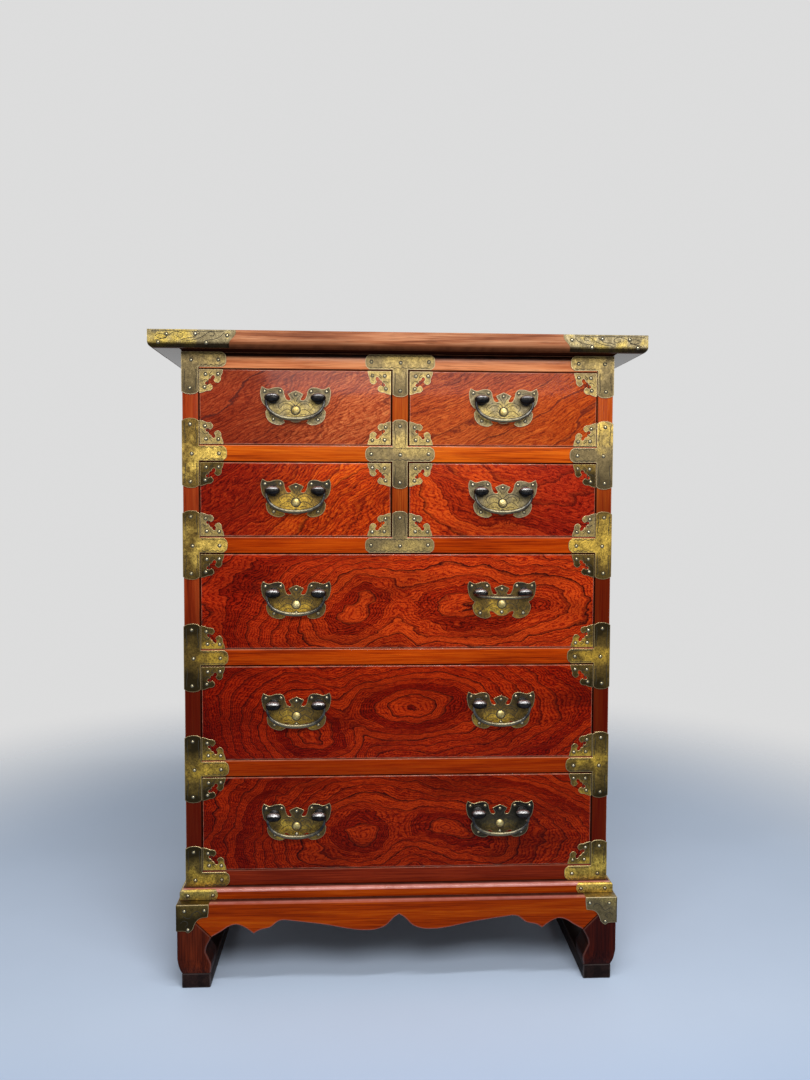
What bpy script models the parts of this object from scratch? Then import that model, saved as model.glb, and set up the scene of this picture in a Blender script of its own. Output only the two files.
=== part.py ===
"""A chest of seven drawers with bat-shaped brass pulls, on a mitred stand with two floor runners.

Metres, +Z up, front towards -Y, origin on the floor at the middle of the footprint.
"""

import math

import bmesh
import bpy
from mathutils import Matrix, Vector

# Carcass
CASE_WIDTH = 0.705
CASE_DEPTH = 0.388
STILE_WIDTH = 0.0265
STILE_DEPTH = 0.030
SIDE_THICK = 0.016
BACK_THICK = 0.006
POST_WIDTH = 0.028
POST_DEPTH = 0.028
RAIL_HEIGHT = 0.0273
RAIL_DEPTH = 0.036
TOP_RAIL_HEIGHT = 0.0273
BOTTOM_RAIL_HEIGHT = 0.0267
DUST_BOARD_THICK = 0.008
HOUSING_DEPTH = 0.005
GUIDE_HEIGHT = 0.020

# Top board
TOP_THICK = 0.029
TOP_SIDE_OVERHANG = 0.0466
TOP_FRONT_OVERHANG = 0.0306
TOP_BACK_OVERHANG = 0.010
TOP_EDGE_ROUND = 0.009

# Stand: base moulding, aprons, legs and floor runners
STAND_HEIGHT = 0.143
STAND_FRONT = 0.0277
STAND_SIDE = 0.0104
MOULDING_HEIGHT = 0.017
MOULDING_FRONT = 0.0118
MOULDING_SIDE = 0.0073
MOULDING_ROUND = 0.004
APRON_THICK = 0.022
LEG_WIDTH = 0.0555
LEG_ANKLE = 0.0463
APRON_DEPTH = 0.0508
SCALLOP_WIDTH = 0.119
RUNNER_HEIGHT = 0.025
RUNNER_WIDTH = 0.047
RUNNER_INSET = 0.006

# Drawers
SMALL_OPENING = 0.1223
LARGE_OPENING = 0.1578
FRONT_THICK = 0.020
BOX_WALL = 0.010
BOX_BOTTOM = 0.006
BOX_BELOW_OPENING = 0.014
BOX_BEHIND = 0.008

# Brass mounts on the wood
MOUNT_PROUD = 0.001
MOUNT_STEM = 0.0565
MOUNT_ARM_REACH = 0.0715
MOUNT_ARM_HEIGHT = 0.0242
MOUNT_ARCH = 0.004
MOUNT_WRAP = 0.024
CENTRE_MOUNT_HALF = 0.057
CENTRE_MOUNT_STEM = 0.025
CORNER_MOUNT = 0.0385
CAP_LENGTH = 0.138
CAP_WRAP = 0.110
CAP_OGEE = 0.011
STRAP_LENGTH = 0.061
STRAP_WRAP = 0.045
BRACKET_LENGTH = 0.052
BRACKET_DROP = 0.0485

# Pulls: plate, posts, stud and hanging bail
PLATE_THICK = 0.0012
PLATE_HALF = 0.057
PLATE_HALF_HEIGHT = 0.031
PULL_RISE = 0.002
PIVOT_ABOVE_CENTRE = 0.0123
PIVOT_OUT = 0.0105
POST_SPACING = 0.074
KNOB_RADIUS = 0.0052
NECK_RADIUS = 0.0032
STUD_RADIUS = 0.0058
STUD_HEIGHT = 0.0035
STUD_BELOW_CENTRE = 0.0068
BAIL_HALF = 0.0468
BAIL_DROP = 0.0341
BAIL_TIP = 0.0235
BAIL_HOOK = 0.0044
BAIL_END_RADIUS = 0.0022
GRIP_RADIUS = 0.0046
RAISED_ANGLE = 84.0

# Clearances
SEAT = 0.0003
SETBACK = 0.0005
SUNK = 0.0002
DRAWER_GAP = 0.0012
RUNNING_GAP = 0.0004
PIN_GAP = 0.0004
WELD = 0.000001

# Fineness of curved outlines and round pieces
OUTLINE_STEPS = 2
ROUND_SIDES = 8
GRIP_STEPS = 6

# Levels and planes worked out from the sizes above
CASE_BOTTOM = STAND_HEIGHT + MOULDING_HEIGHT
HALF_CASE = CASE_WIDTH / 2
HALF_OPENING = HALF_CASE - STILE_WIDTH
HALF_INSIDE = HALF_CASE - SIDE_THICK
HALF_STAND = HALF_CASE + STAND_SIDE
BAIL_OUT = SEAT + PLATE_THICK + PIVOT_OUT
RAISED_REACH = BAIL_DROP * math.sin(math.radians(RAISED_ANGLE)) + GRIP_RADIUS
FRONT_Y = (BAIL_OUT + RAISED_REACH - CASE_DEPTH - TOP_BACK_OVERHANG) / 2
BACK_Y = FRONT_Y + CASE_DEPTH
STAND_FRONT_Y = FRONT_Y - STAND_FRONT

# Drawer rows from the floor up: name, height of the opening, drawers side by side
ROWS = (
    ("bottom", LARGE_OPENING, 1),
    ("fourth", LARGE_OPENING, 1),
    ("third", LARGE_OPENING, 1),
    ("second", SMALL_OPENING, 2),
    ("top", SMALL_OPENING, 2),
)
RAISED_PULL = "third_right"


def row_levels():
    """The underside and upper side of each row's opening, from the floor up."""
    levels = []
    z = CASE_BOTTOM + BOTTOM_RAIL_HEIGHT
    for _, height, _ in ROWS:
        levels.append((z, z + height))
        z += height + RAIL_HEIGHT
    return levels


LEVELS = row_levels()
CASE_TOP = LEVELS[-1][1] + TOP_RAIL_HEIGHT

for leftover in list(bpy.data.objects):
    bpy.data.objects.remove(leftover)

parts = bpy.data.collections.new("chest_of_drawers")
cutters = bpy.data.collections.new("cutters")
bpy.context.scene.collection.children.link(parts)
bpy.context.scene.collection.children.link(cutters)


def finish(name, colour, roughness, metallic=0.0):
    """A plain material with one colour, roughness and metallic value."""
    material = bpy.data.materials.new(name)
    material.use_nodes = True
    shader = material.node_tree.nodes["Principled BSDF"]
    shader.inputs["Base Color"].default_value = (*colour, 1.0)
    shader.inputs["Roughness"].default_value = roughness
    shader.inputs["Metallic"].default_value = metallic
    return material


FRAME_WOOD = finish("frame_wood", (0.33, 0.075, 0.022), 0.30)
FRONT_WOOD = finish("drawer_front_wood", (0.30, 0.050, 0.020), 0.28)
LEG_WOOD = finish("leg_wood", (0.16, 0.030, 0.016), 0.32)
RUNNER_WOOD = finish("runner_wood", (0.045, 0.020, 0.014), 0.45)
INSIDE_WOOD = finish("inside_wood", (0.42, 0.27, 0.15), 0.60)
PLATE_BRASS = finish("plate_brass", (0.38, 0.29, 0.12), 0.38, 1.0)
BAIL_BRONZE = finish("bail_bronze", (0.13, 0.11, 0.09), 0.32, 1.0)


def add_object(name, mesh, material, world, parent=None):
    """A named object at a place in the room, carried by its parent."""
    item = bpy.data.objects.new(name, mesh)
    mesh.materials.append(material)
    parts.objects.link(item)
    item.parent = parent
    item.location = Vector(world) - (parent.location if parent else Vector())
    return item


def block(name, low, high, material, parent=None):
    """A board or batten between two corners, with its origin at its middle."""
    size = Vector(high) - Vector(low)
    bm = bmesh.new()
    bmesh.ops.create_cube(bm, size=1.0)
    bmesh.ops.scale(bm, vec=size, verts=bm.verts)
    mesh = bpy.data.meshes.new(name)
    bm.to_mesh(mesh)
    bm.free()
    return add_object(name, mesh, material, (Vector(low) + Vector(high)) / 2, parent)


def plate(name, points, thick, centre, material, side=False, parent=None):
    """A flat outline of a given thickness, upright and facing the front or the side.

    Points are across and up; a third value marks a sharp corner, and the rest flow into a curve.
    """
    curve = bpy.data.curves.new(name, "CURVE")
    curve.dimensions = "2D"
    curve.fill_mode = "NONE"
    curve.resolution_u = OUTLINE_STEPS
    spline = curve.splines.new("BEZIER")
    spline.use_cyclic_u = True
    spline.bezier_points.add(len(points) - 1)
    for knot, point in zip(spline.bezier_points, points):
        knot.co = (point[0], point[1], 0.0)
        kind = "VECTOR" if len(point) > 2 else "AUTO"
        knot.handle_left_type = kind
        knot.handle_right_type = kind
    guide = bpy.data.objects.new(f"{name}_outline", curve)
    guide.rotation_euler = (math.pi / 2, 0.0, math.pi / 2 if side else 0.0)
    guide.location = centre
    cutters.objects.link(guide)
    bpy.context.view_layer.update()
    graph = bpy.context.evaluated_depsgraph_get()
    mesh = bpy.data.meshes.new_from_object(guide.evaluated_get(graph))
    mesh.name = name
    bm = bmesh.new()
    bm.from_mesh(mesh)
    bmesh.ops.remove_doubles(bm, verts=bm.verts, dist=WELD)
    bmesh.ops.edgenet_fill(bm, edges=bm.edges)
    bmesh.ops.translate(bm, vec=(0.0, 0.0, -thick / 2), verts=bm.verts)
    grown = bmesh.ops.extrude_face_region(bm, geom=bm.faces[:])
    raised = [item for item in grown["geom"] if isinstance(item, bmesh.types.BMVert)]
    bmesh.ops.translate(bm, vec=(0.0, 0.0, thick), verts=raised)
    bmesh.ops.recalc_face_normals(bm, faces=bm.faces)
    bm.to_mesh(mesh)
    bm.free()
    item = add_object(name, mesh, material, centre, parent)
    item.rotation_euler = guide.rotation_euler
    bpy.data.objects.remove(guide)
    return item


def merged(name, items):
    """One mesh object that holds the separate shapes of several."""
    bpy.context.view_layer.update()
    bm = bmesh.new()
    for item in items:
        mesh = item.data.copy()
        mesh.transform(item.matrix_world)
        bm.from_mesh(mesh)
        bpy.data.objects.remove(item)
    mesh = bpy.data.meshes.new(name)
    bm.to_mesh(mesh)
    bm.free()
    return add_object(name, mesh, PLATE_BRASS, (0, 0, 0))


def boolean(item, operation, *others):
    """Joins, cuts or intersects an object with others, which become hidden helpers."""
    for other in others:
        modifier = item.modifiers.new(operation.lower(), "BOOLEAN")
        modifier.operation = operation
        modifier.solver = "EXACT"
        modifier.object = other
        parts.objects.unlink(other)
        cutters.objects.link(other)
        other.hide_render = True
        other.display_type = "WIRE"


def round_edges(item, upper, width, segments):
    """Rounds the front and side edges of a board's upper or lower face."""
    heights = [vert.co.z for vert in item.data.vertices]
    level = max(heights) if upper else min(heights)
    back = max(vert.co.y for vert in item.data.vertices)
    bm = bmesh.new()
    bm.from_mesh(item.data)
    edges = []
    for edge in bm.edges:
        middle = (edge.verts[0].co + edge.verts[1].co) / 2
        if abs(middle.z - level) < WELD and middle.y < back - WELD:
            edges.append(edge)
    bmesh.ops.bevel(bm, geom=edges, offset=width, segments=segments, profile=0.5, affect="EDGES")
    bm.to_mesh(item.data)
    bm.free()


def mirror_points(points):
    """Half an outline, from its top middle to its bottom middle, and its mirror image."""
    back = [(-point[0], *point[1:]) for point in reversed(points) if abs(point[0]) > WELD]
    return points + back


def make_case():
    """Sides, stiles, rails with their dust boards, posts, back and top."""
    foot = CASE_BOTTOM + SEAT
    head = CASE_TOP - SEAT
    for name, sign in (("left", -1), ("right", 1)):
        make_side(name, sign, foot, head)
        make_stile(name, sign, foot, head)
    block(
        "back_panel",
        (-HALF_INSIDE + SEAT, BACK_Y - BACK_THICK, foot),
        (HALF_INSIDE - SEAT, BACK_Y, head),
        INSIDE_WOOD,
    )
    top_rail = block(
        "top_rail",
        (-HALF_OPENING + SEAT, FRONT_Y + SETBACK, LEVELS[-1][1]),
        (HALF_OPENING - SEAT, FRONT_Y + RAIL_DEPTH, head),
        FRAME_WOOD,
    )
    top_mid = (LEVELS[-1][1] + CASE_TOP) / 2
    boolean(top_rail, "UNION", centre_mount("top_centre_mount", top_mid, 0, 1))
    for index, (low, _) in enumerate(LEVELS):
        make_shelf(index, low, foot)
    for name, row in (("lower", 3), ("upper", 4)):
        block(
            f"{name}_centre_post",
            (-POST_WIDTH / 2, FRONT_Y + 2 * SETBACK, LEVELS[row][0] + SEAT),
            (POST_WIDTH / 2, FRONT_Y + POST_DEPTH, LEVELS[row][1] - SEAT),
            FRAME_WOOD,
        )


def make_side(name, sign, foot, head):
    """A side board with a housing for each dust board."""
    inner = sign * HALF_INSIDE
    outer = sign * HALF_CASE
    across = sorted((inner, outer))
    start = FRONT_Y + STILE_DEPTH + SEAT
    side = block(f"{name}_side", (across[0], start, foot), (across[1], BACK_Y, head), FRAME_WOOD)
    housings = []
    for index, (low, _) in enumerate(LEVELS):
        reach = inner + sign * HOUSING_DEPTH
        across = sorted((inner - sign * BOX_WALL, reach))
        housings.append(
            block(
                f"{name}_housing_{index}",
                (across[0], FRONT_Y, low - DUST_BOARD_THICK - SEAT),
                (across[1], BACK_Y - BACK_THICK, low + SEAT),
                INSIDE_WOOD,
            )
        )
    boolean(side, "DIFFERENCE", merged(f"{name}_housings", housings))


def make_shelf(index, low, foot):
    """A front rail with the dust board and the drawer guides behind it."""
    bottom = index == 0
    name = "bottom_rail" if bottom else f"{ROWS[index][0]}_row_rail"
    rail_low = foot if bottom else LEVELS[index - 1][1]
    rail = block(
        name,
        (-HALF_OPENING + SEAT, FRONT_Y + SETBACK, rail_low),
        (HALF_OPENING - SEAT, FRONT_Y + RAIL_DEPTH, low),
        FRAME_WOOD,
    )
    board_half = HALF_INSIDE + HOUSING_DEPTH - SEAT
    guide_half = HALF_INSIDE - SEAT
    start = FRONT_Y + STILE_DEPTH + SEAT
    end = BACK_Y - BACK_THICK - SEAT
    points = [
        (0.0, low, True),
        (HALF_OPENING, low, True),
        (HALF_OPENING, low + GUIDE_HEIGHT, True),
        (guide_half, low + GUIDE_HEIGHT, True),
        (guide_half, low, True),
        (board_half, low, True),
        (board_half, low - DUST_BOARD_THICK, True),
        (0.0, low - DUST_BOARD_THICK, True),
    ]
    if ROWS[index][2] == 2:
        half = POST_WIDTH / 2
        points[:1] = [(0.0, low + GUIDE_HEIGHT, True), (half, low + GUIDE_HEIGHT, True), (half, low, True)]
    points = mirror_points(points)
    middle = (0.0, (start + end) / 2, 0.0)
    boolean(rail, "UNION", plate(f"{name}_board", points, end - start, middle, INSIDE_WOOD))
    if ROWS[index][2] == 2:
        mid = low - RAIL_HEIGHT / 2
        above = 1
        below = 1 if ROWS[index - 1][2] == 2 else 0
        boolean(rail, "UNION", centre_mount(f"{name}_mount", mid, above, below))


def centre_mount(name, mid, above, below):
    """A brass bar on a rail, with a stem over the post above or below it, or both."""
    arm = MOUNT_ARM_HEIGHT / 2
    stem = CENTRE_MOUNT_STEM / 2
    end = CENTRE_MOUNT_HALF
    points = []
    if above:
        points += [(0.0, MOUNT_STEM), (stem, MOUNT_STEM - MOUNT_ARCH, True), (stem, arm, True)]
    else:
        points += [(0.0, arm, True)]
    points += rounded_end(end, arm)
    if below:
        points += [(stem, -arm, True), (stem, -MOUNT_STEM + MOUNT_ARCH, True), (0.0, -MOUNT_STEM)]
    else:
        points += [(0.0, -arm, True)]
    face = FRONT_Y + SETBACK
    centre = (0.0, face + (SUNK - MOUNT_PROUD) / 2, mid)
    return plate(name, mirror_points(points), MOUNT_PROUD + SUNK, centre, PLATE_BRASS)


def rounded_end(reach, arm):
    """The rounded end of a mount's arm, from its upper to its lower corner."""
    shoulder = reach - arm * 0.4
    return [(shoulder, arm, True), (reach, arm * 0.4), (reach, -arm * 0.4), (shoulder, -arm, True)]


def mount_outline(sign, above, below):
    """A T or L shaped mount from its outer edge at 0, with stems above and below the arm."""
    arm = MOUNT_ARM_HEIGHT / 2
    stem = STILE_WIDTH
    edge = -MOUNT_PROUD
    points = [(edge, arm, True)]
    if above:
        points = [(edge, above - MOUNT_ARCH, True), (stem / 2, above), (stem, above - MOUNT_ARCH, True)]
        points += [(stem, arm, True)]
    points += rounded_end(MOUNT_ARM_REACH, arm)
    if below:
        points += [(stem, -arm, True), (stem, MOUNT_ARCH - below, True), (stem / 2, -below)]
        points += [(edge, MOUNT_ARCH - below, True)]
    else:
        points += [(edge, -arm, True)]
    return [(sign * point[0], *point[1:]) for point in points]


def make_stile(name, sign, foot, head):
    """A front corner post with its brass mounts, which wrap round to the side."""
    outer = sign * HALF_CASE
    across = sorted((outer, sign * HALF_OPENING))
    stile = block(
        f"{name}_stile", (across[0], FRONT_Y, foot), (across[1], FRONT_Y + STILE_DEPTH, head), FRAME_WOOD
    )
    arm = MOUNT_ARM_HEIGHT / 2
    mounts = [(foot + arm, MOUNT_STEM, 0.0)]
    mounts += [(low - RAIL_HEIGHT / 2, MOUNT_STEM, MOUNT_STEM) for low, _ in LEVELS[1:]]
    mounts += [(head - arm, 0.0, MOUNT_STEM)]
    depth = MOUNT_PROUD + SUNK
    fronts = []
    sides = []
    for index, (mid, above, below) in enumerate(mounts):
        front = mount_outline(-sign, above, below)
        centre = (outer, FRONT_Y + (SUNK - MOUNT_PROUD) / 2, mid)
        fronts.append(plate(f"{name}_mount_{index}", front, depth, centre, PLATE_BRASS))
        wrap = wrap_outline(above or arm, below or arm)
        centre = (outer - sign * (SUNK - MOUNT_PROUD) / 2, FRONT_Y, mid)
        sides.append(plate(f"{name}_wrap_{index}", wrap, depth, centre, PLATE_BRASS, side=True))
    boolean(stile, "UNION", merged(f"{name}_mounts", fronts), merged(f"{name}_wraps", sides))


def wrap_outline(above, below):
    """The part of a stile mount that is folded back along the side."""
    edge = -MOUNT_PROUD / 2
    return [
        (edge, above - MOUNT_ARCH, True),
        (MOUNT_WRAP, above - MOUNT_ARCH, True),
        (MOUNT_WRAP, MOUNT_ARCH - below, True),
        (edge, MOUNT_ARCH - below, True),
    ]


def slab(name, half, front, back, low, high, material):
    """A flat board between two sides, a front, a back and two levels."""
    return block(name, (-half, front, low), (half, back, high), material)


def make_top():
    """The overhanging top, with its lower edges rounded and a brass cap on each front corner."""
    half = HALF_CASE + TOP_SIDE_OVERHANG
    front = FRONT_Y - TOP_FRONT_OVERHANG
    back = BACK_Y + TOP_BACK_OVERHANG
    high = CASE_TOP + TOP_THICK
    top = slab("top_board", half, front, back, CASE_TOP, high, FRAME_WOOD)
    round_edges(top, False, TOP_EDGE_ROUND, 3)
    for name, sign in (("left", -1), ("right", 1)):
        outer = half + MOUNT_PROUD
        low = CASE_TOP + SUNK
        cap = slab(f"{name}_cap", outer, front - MOUNT_PROUD, back, low, high - SUNK, PLATE_BRASS)
        round_edges(cap, False, TOP_EDGE_ROUND, 3)
        inner = half - CAP_LENGTH
        ogee = [
            (2 * outer, -TOP_THICK, True),
            (2 * outer, 2 * TOP_THICK, True),
            (inner, 2 * TOP_THICK, True),
            (inner, TOP_THICK * 0.85, True),
            (inner + CAP_OGEE * 0.18, TOP_THICK * 0.62),
            (inner + CAP_OGEE * 0.6, TOP_THICK * 0.45),
            (inner + CAP_OGEE, TOP_THICK * 0.25, True),
            (inner + CAP_OGEE, -TOP_THICK, True),
        ]
        ogee = [(sign * point[0], *point[1:]) for point in ogee]
        mask = plate(f"{name}_cap_front", ogee, 2 * CAP_WRAP, (0.0, front, CASE_TOP), PLATE_BRASS)
        boolean(cap, "INTERSECT", mask)
        boolean(top, "UNION", cap)


def make_moulding():
    """The board between the stand and the case, with a rounded upper edge and two brass straps."""
    low = STAND_HEIGHT + SEAT
    half = HALF_CASE + MOULDING_SIDE
    front = FRONT_Y - MOULDING_FRONT
    board = slab("base_moulding", half, front, BACK_Y, low, CASE_BOTTOM, FRAME_WOOD)
    round_edges(board, True, MOULDING_ROUND, 2)
    tall = CASE_BOTTOM - low
    for name, sign in (("left", -1), ("right", 1)):
        outer = half + MOUNT_PROUD
        high = CASE_BOTTOM - SUNK
        strap = slab(f"{name}_strap", outer, front - MOUNT_PROUD, BACK_Y, low + SUNK, high, PLATE_BRASS)
        round_edges(strap, True, MOULDING_ROUND, 2)
        inner = half - STRAP_LENGTH
        end = [
            (2 * outer, -tall, True),
            (2 * outer, 2 * tall, True),
            (inner + tall / 2, 2 * tall, True),
            (inner + tall / 3, tall * 0.95, True),
            (inner, tall / 2),
            (inner + tall / 3, tall * 0.05, True),
            (inner + tall / 2, -tall, True),
        ]
        end = [(sign * point[0], *point[1:]) for point in end]
        mask = plate(f"{name}_strap_front", end, 2 * STRAP_WRAP, (0.0, front, low), PLATE_BRASS)
        boolean(strap, "INTERSECT", mask)
        boolean(board, "UNION", strap)


def leg_outline(sign):
    """A leg seen square on, from its outer edge at 0, with its mitred upper end."""
    top = STAND_HEIGHT - SEAT
    foot = RUNNER_HEIGHT + SEAT
    tall = top - LEG_WIDTH - foot
    swell = LEG_WIDTH - LEG_ANKLE
    points = [
        (0.0, top, True),
        (LEG_WIDTH, foot + tall, True),
        (LEG_WIDTH - swell * 0.44, foot + tall * 0.88),
        (LEG_ANKLE + swell * 0.16, foot + tall * 0.76),
        (LEG_ANKLE, foot + tall * 0.614),
        (LEG_ANKLE + swell * 0.43, foot + tall * 0.46),
        (LEG_WIDTH - swell * 0.1, foot + tall * 0.275),
        (RUNNER_INSET + RUNNER_WIDTH, foot, True),
        (RUNNER_INSET, foot, True),
        (RUNNER_INSET * 0.45, foot + tall * 0.16),
        (0.0, foot + tall * 0.42, True),
    ]
    return [(sign * point[0], *point[1:]) for point in points]


def bracket_outline(sign, top):
    """The brass on an upper corner of the stand, from its outer edge at 0, cusped along its lower edge."""
    edge = -MOUNT_PROUD
    points = [
        (edge, top, True),
        (BRACKET_LENGTH, top, True),
        (BRACKET_LENGTH * 0.98, top - BRACKET_DROP * 0.33),
        (BRACKET_LENGTH * 0.94, top - BRACKET_DROP * 0.48, True),
        (BRACKET_LENGTH * 0.75, top - BRACKET_DROP * 0.53),
        (BRACKET_LENGTH * 0.63, top - BRACKET_DROP * 0.62),
        (BRACKET_LENGTH * 0.53, top - BRACKET_DROP * 0.84),
        (BRACKET_LENGTH * 0.44, top - BRACKET_DROP * 0.98),
        (BRACKET_LENGTH * 0.35, top - BRACKET_DROP),
        (BRACKET_LENGTH * 0.27, top - BRACKET_DROP * 0.94, True),
        (edge, top - BRACKET_DROP * 0.94, True),
    ]
    return [(sign * point[0], *point[1:]) for point in points]


def make_legs():
    """Four legs, curved and mitred on both faces; the front pair carries the brass brackets."""
    depth = MOUNT_PROUD + SUNK
    top = STAND_HEIGHT - SEAT
    for end, face, inward in (("front", STAND_FRONT_Y, 1), ("back", BACK_Y, -1)):
        for name, sign in (("left", -1), ("right", 1)):
            outer = sign * HALF_STAND
            deep = LEG_WIDTH + APRON_THICK
            middle = (outer, face + inward * deep / 2, 0.0)
            leg = plate(f"{end}_{name}_leg", leg_outline(-sign), deep, middle, LEG_WOOD)
            middle = (outer - sign * deep / 2, face, 0.0)
            mask = plate(f"{end}_{name}_leg_side", leg_outline(inward), deep, middle, LEG_WOOD, side=True)
            boolean(leg, "INTERSECT", mask)
            if end == "back":
                continue
            centre = (outer, face + (SUNK - MOUNT_PROUD) / 2, 0.0)
            front = plate(f"{name}_bracket", bracket_outline(-sign, top), depth, centre, PLATE_BRASS)
            centre = (outer - sign * (SUNK - MOUNT_PROUD) / 2, face, 0.0)
            turned_back = bracket_outline(1, top)
            side = plate(f"{name}_bracket_side", turned_back, depth, centre, PLATE_BRASS, side=True)
            boolean(leg, "UNION", front, side)


def apron_outline(half, middle):
    """A scalloped apron seen square on; middle shapes its lower edge between the end scallops."""
    leg = half - LEG_WIDTH
    scallop = [
        (0.143, 0.896),
        (0.227, 0.768),
        (0.336, 0.693),
        (0.437, 0.772),
        (0.58, 1.0, True),
        (0.655, 0.896),
        (0.807, 0.803),
        (0.924, 0.606),
        (1.0, 0.575, True),
    ]
    inner = leg - SCALLOP_WIDTH
    points = [(0.0, STAND_HEIGHT, True), (half - SEAT, STAND_HEIGHT, True)]
    points += [(leg, STAND_HEIGHT - LEG_WIDTH + SEAT, True)]
    points += [(leg - SCALLOP_WIDTH * x, STAND_HEIGHT - APRON_DEPTH * z, *sharp) for x, z, *sharp in scallop]
    points += [(inner * x, STAND_HEIGHT - APRON_DEPTH * z, *sharp) for x, z, *sharp in middle]
    return mirror_points(points)


def make_aprons():
    """Four boards between the legs, mitred to them and to each other, with a scalloped lower edge."""
    depth = BACK_Y - STAND_FRONT_Y
    mid_y = (BACK_Y + STAND_FRONT_Y) / 2
    wave = [(0.69, 0.732), (0.255, 0.969), (0.125, 0.846), (0.04, 0.547), (0.0, 0.455, True)]
    for name, face, inward in (("front", STAND_FRONT_Y, 1), ("back", BACK_Y, -1)):
        middle = (0.0, face + inward * (SETBACK + APRON_THICK / 2), 0.0)
        apron = plate(f"{name}_apron", apron_outline(HALF_STAND, wave), APRON_THICK, middle, FRAME_WOOD)
        boolean(apron, "DIFFERENCE", *mitre_cutters(name, face, inward))
    for name, sign in (("left", -1), ("right", 1)):
        outline = apron_outline(depth / 2, [(0.0, 0.69, True)])
        middle = (sign * (HALF_STAND - SETBACK - APRON_THICK / 2), mid_y, 0.0)
        apron = plate(f"{name}_apron", outline, APRON_THICK, middle, FRAME_WOOD, side=True)
        boolean(apron, "DIFFERENCE", *side_mitre_cutters(name, sign))


def wedge(name, corners, low, high):
    """An upright prism on a three-cornered plan."""
    bm = bmesh.new()
    floor = bm.faces.new([bm.verts.new((*corner, low)) for corner in corners])
    grown = bmesh.ops.extrude_face_region(bm, geom=[floor])
    raised = [item for item in grown["geom"] if isinstance(item, bmesh.types.BMVert)]
    bmesh.ops.translate(bm, vec=(0, 0, high - low), verts=raised)
    bmesh.ops.recalc_face_normals(bm, faces=bm.faces)
    mesh = bpy.data.meshes.new(name)
    bm.to_mesh(mesh)
    bm.free()
    return add_object(name, mesh, FRAME_WOOD, (0, 0, 0))


def mitre_cutters(name, face, inward):
    """What a side apron takes from each end of a front or back apron."""
    reach = 2 * APRON_THICK
    found = []
    for side, sign in (("left", -1), ("right", 1)):
        outer = sign * (HALF_STAND + SEAT)
        corners = [
            (outer + sign * reach, face - inward * reach),
            (outer - sign * reach, face + inward * reach),
            (outer + sign * reach, face + inward * reach),
        ]
        shift = [(x - 2 * sign * SEAT, y) for x, y in corners]
        found.append(wedge(f"{name}_{side}_mitre", shift, 0.0, 2 * STAND_HEIGHT))
    return found


def side_mitre_cutters(name, sign):
    """What the front and back aprons take from the ends of a side apron."""
    reach = 2 * APRON_THICK
    found = []
    for end, face, inward in (("front", STAND_FRONT_Y, 1), ("back", BACK_Y, -1)):
        outer = sign * (HALF_STAND + SEAT)
        corners = [
            (outer + sign * reach, face - inward * reach),
            (outer - sign * reach, face + inward * reach),
            (outer - sign * reach, face - inward * reach),
        ]
        found.append(wedge(f"{name}_{end}_side_mitre", corners, 0.0, 2 * STAND_HEIGHT))
    return found


def make_runners():
    """Two bars on the floor, each under a front and a back leg."""
    for name, sign in (("left", -1), ("right", 1)):
        outer = sign * (HALF_STAND - RUNNER_INSET)
        across = sorted((outer, outer - sign * RUNNER_WIDTH))
        block(
            f"{name}_runner",
            (across[0], STAND_FRONT_Y + RUNNER_INSET, 0.0),
            (across[1], BACK_Y - RUNNER_INSET, RUNNER_HEIGHT),
            RUNNER_WOOD,
        )


def corner_outline(sign_x, sign_z):
    """A drawer's corner mount from its corner at 0: two lobed arms and a hooked notch between them."""
    size = CORNER_MOUNT
    half = [
        (size, 0.0, True),
        (size * 0.90, size * 0.38),
        (size * 0.76, size * 0.56),
        (size * 0.60, size * 0.455, True),
        (size * 0.655, size * 0.35),
        (size * 0.56, size * 0.26),
    ]
    middle = [(size * 0.395, size * 0.395, True)]
    other = [(point[1], point[0], *point[2:]) for point in reversed(half)]
    points = [(0.0, 0.0, True)] + half + middle + other
    return [(sign_x * point[0], sign_z * point[1], *point[2:]) for point in points]


def pull_outline():
    """Half the bat-shaped plate of a pull: winged at the top, waisted, hooked at the foot."""
    wide = PLATE_HALF
    tall = PLATE_HALF_HEIGHT
    return [
        (0.0, tall * 0.80, True),
        (wide * 0.15, tall * 0.65),
        (wide * 0.225, tall * 0.565, True),
        (wide * 0.31, tall * 0.565, True),
        (wide * 0.35, tall * 0.82),
        (wide * 0.50, tall * 0.96),
        (wide * 0.78, tall * 0.87),
        (wide * 0.955, tall * 1.01, True),
        (wide, tall * 0.64),
        (wide * 0.94, tall * 0.17),
        (wide * 0.79, -tall * 0.10, True),
        (wide * 0.855, -tall * 0.30, True),
        (wide * 0.81, -tall * 0.68),
        (wide * 0.63, -tall * 0.93),
        (wide * 0.42, -tall * 0.985),
        (wide * 0.305, -tall * 0.87, True),
        (wide * 0.355, -tall * 0.70),
        (wide * 0.28, -tall * 0.60),
        (wide * 0.13, -tall * 0.80),
        (0.0, -tall * 0.85),
    ]


def turned(name, profile, place):
    """A round piece that points to the front, from a profile of radius and distance out."""
    mesh = bpy.data.meshes.new(name)
    bm = bmesh.new()
    verts = [bm.verts.new((radius, 0.0, out)) for radius, out in profile]
    for first, second in zip(verts, verts[1:]):
        bm.edges.new((first, second))
    bm.to_mesh(mesh)
    bm.free()
    item = add_object(name, mesh, PLATE_BRASS, place)
    item.rotation_euler = (math.pi / 2, 0.0, 0.0)
    screw = item.modifiers.new("turn", "SCREW")
    screw.axis = "Z"
    screw.steps = ROUND_SIDES
    screw.render_steps = ROUND_SIDES
    screw.use_merge_vertices = True
    screw.merge_threshold = WELD
    return item


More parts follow.
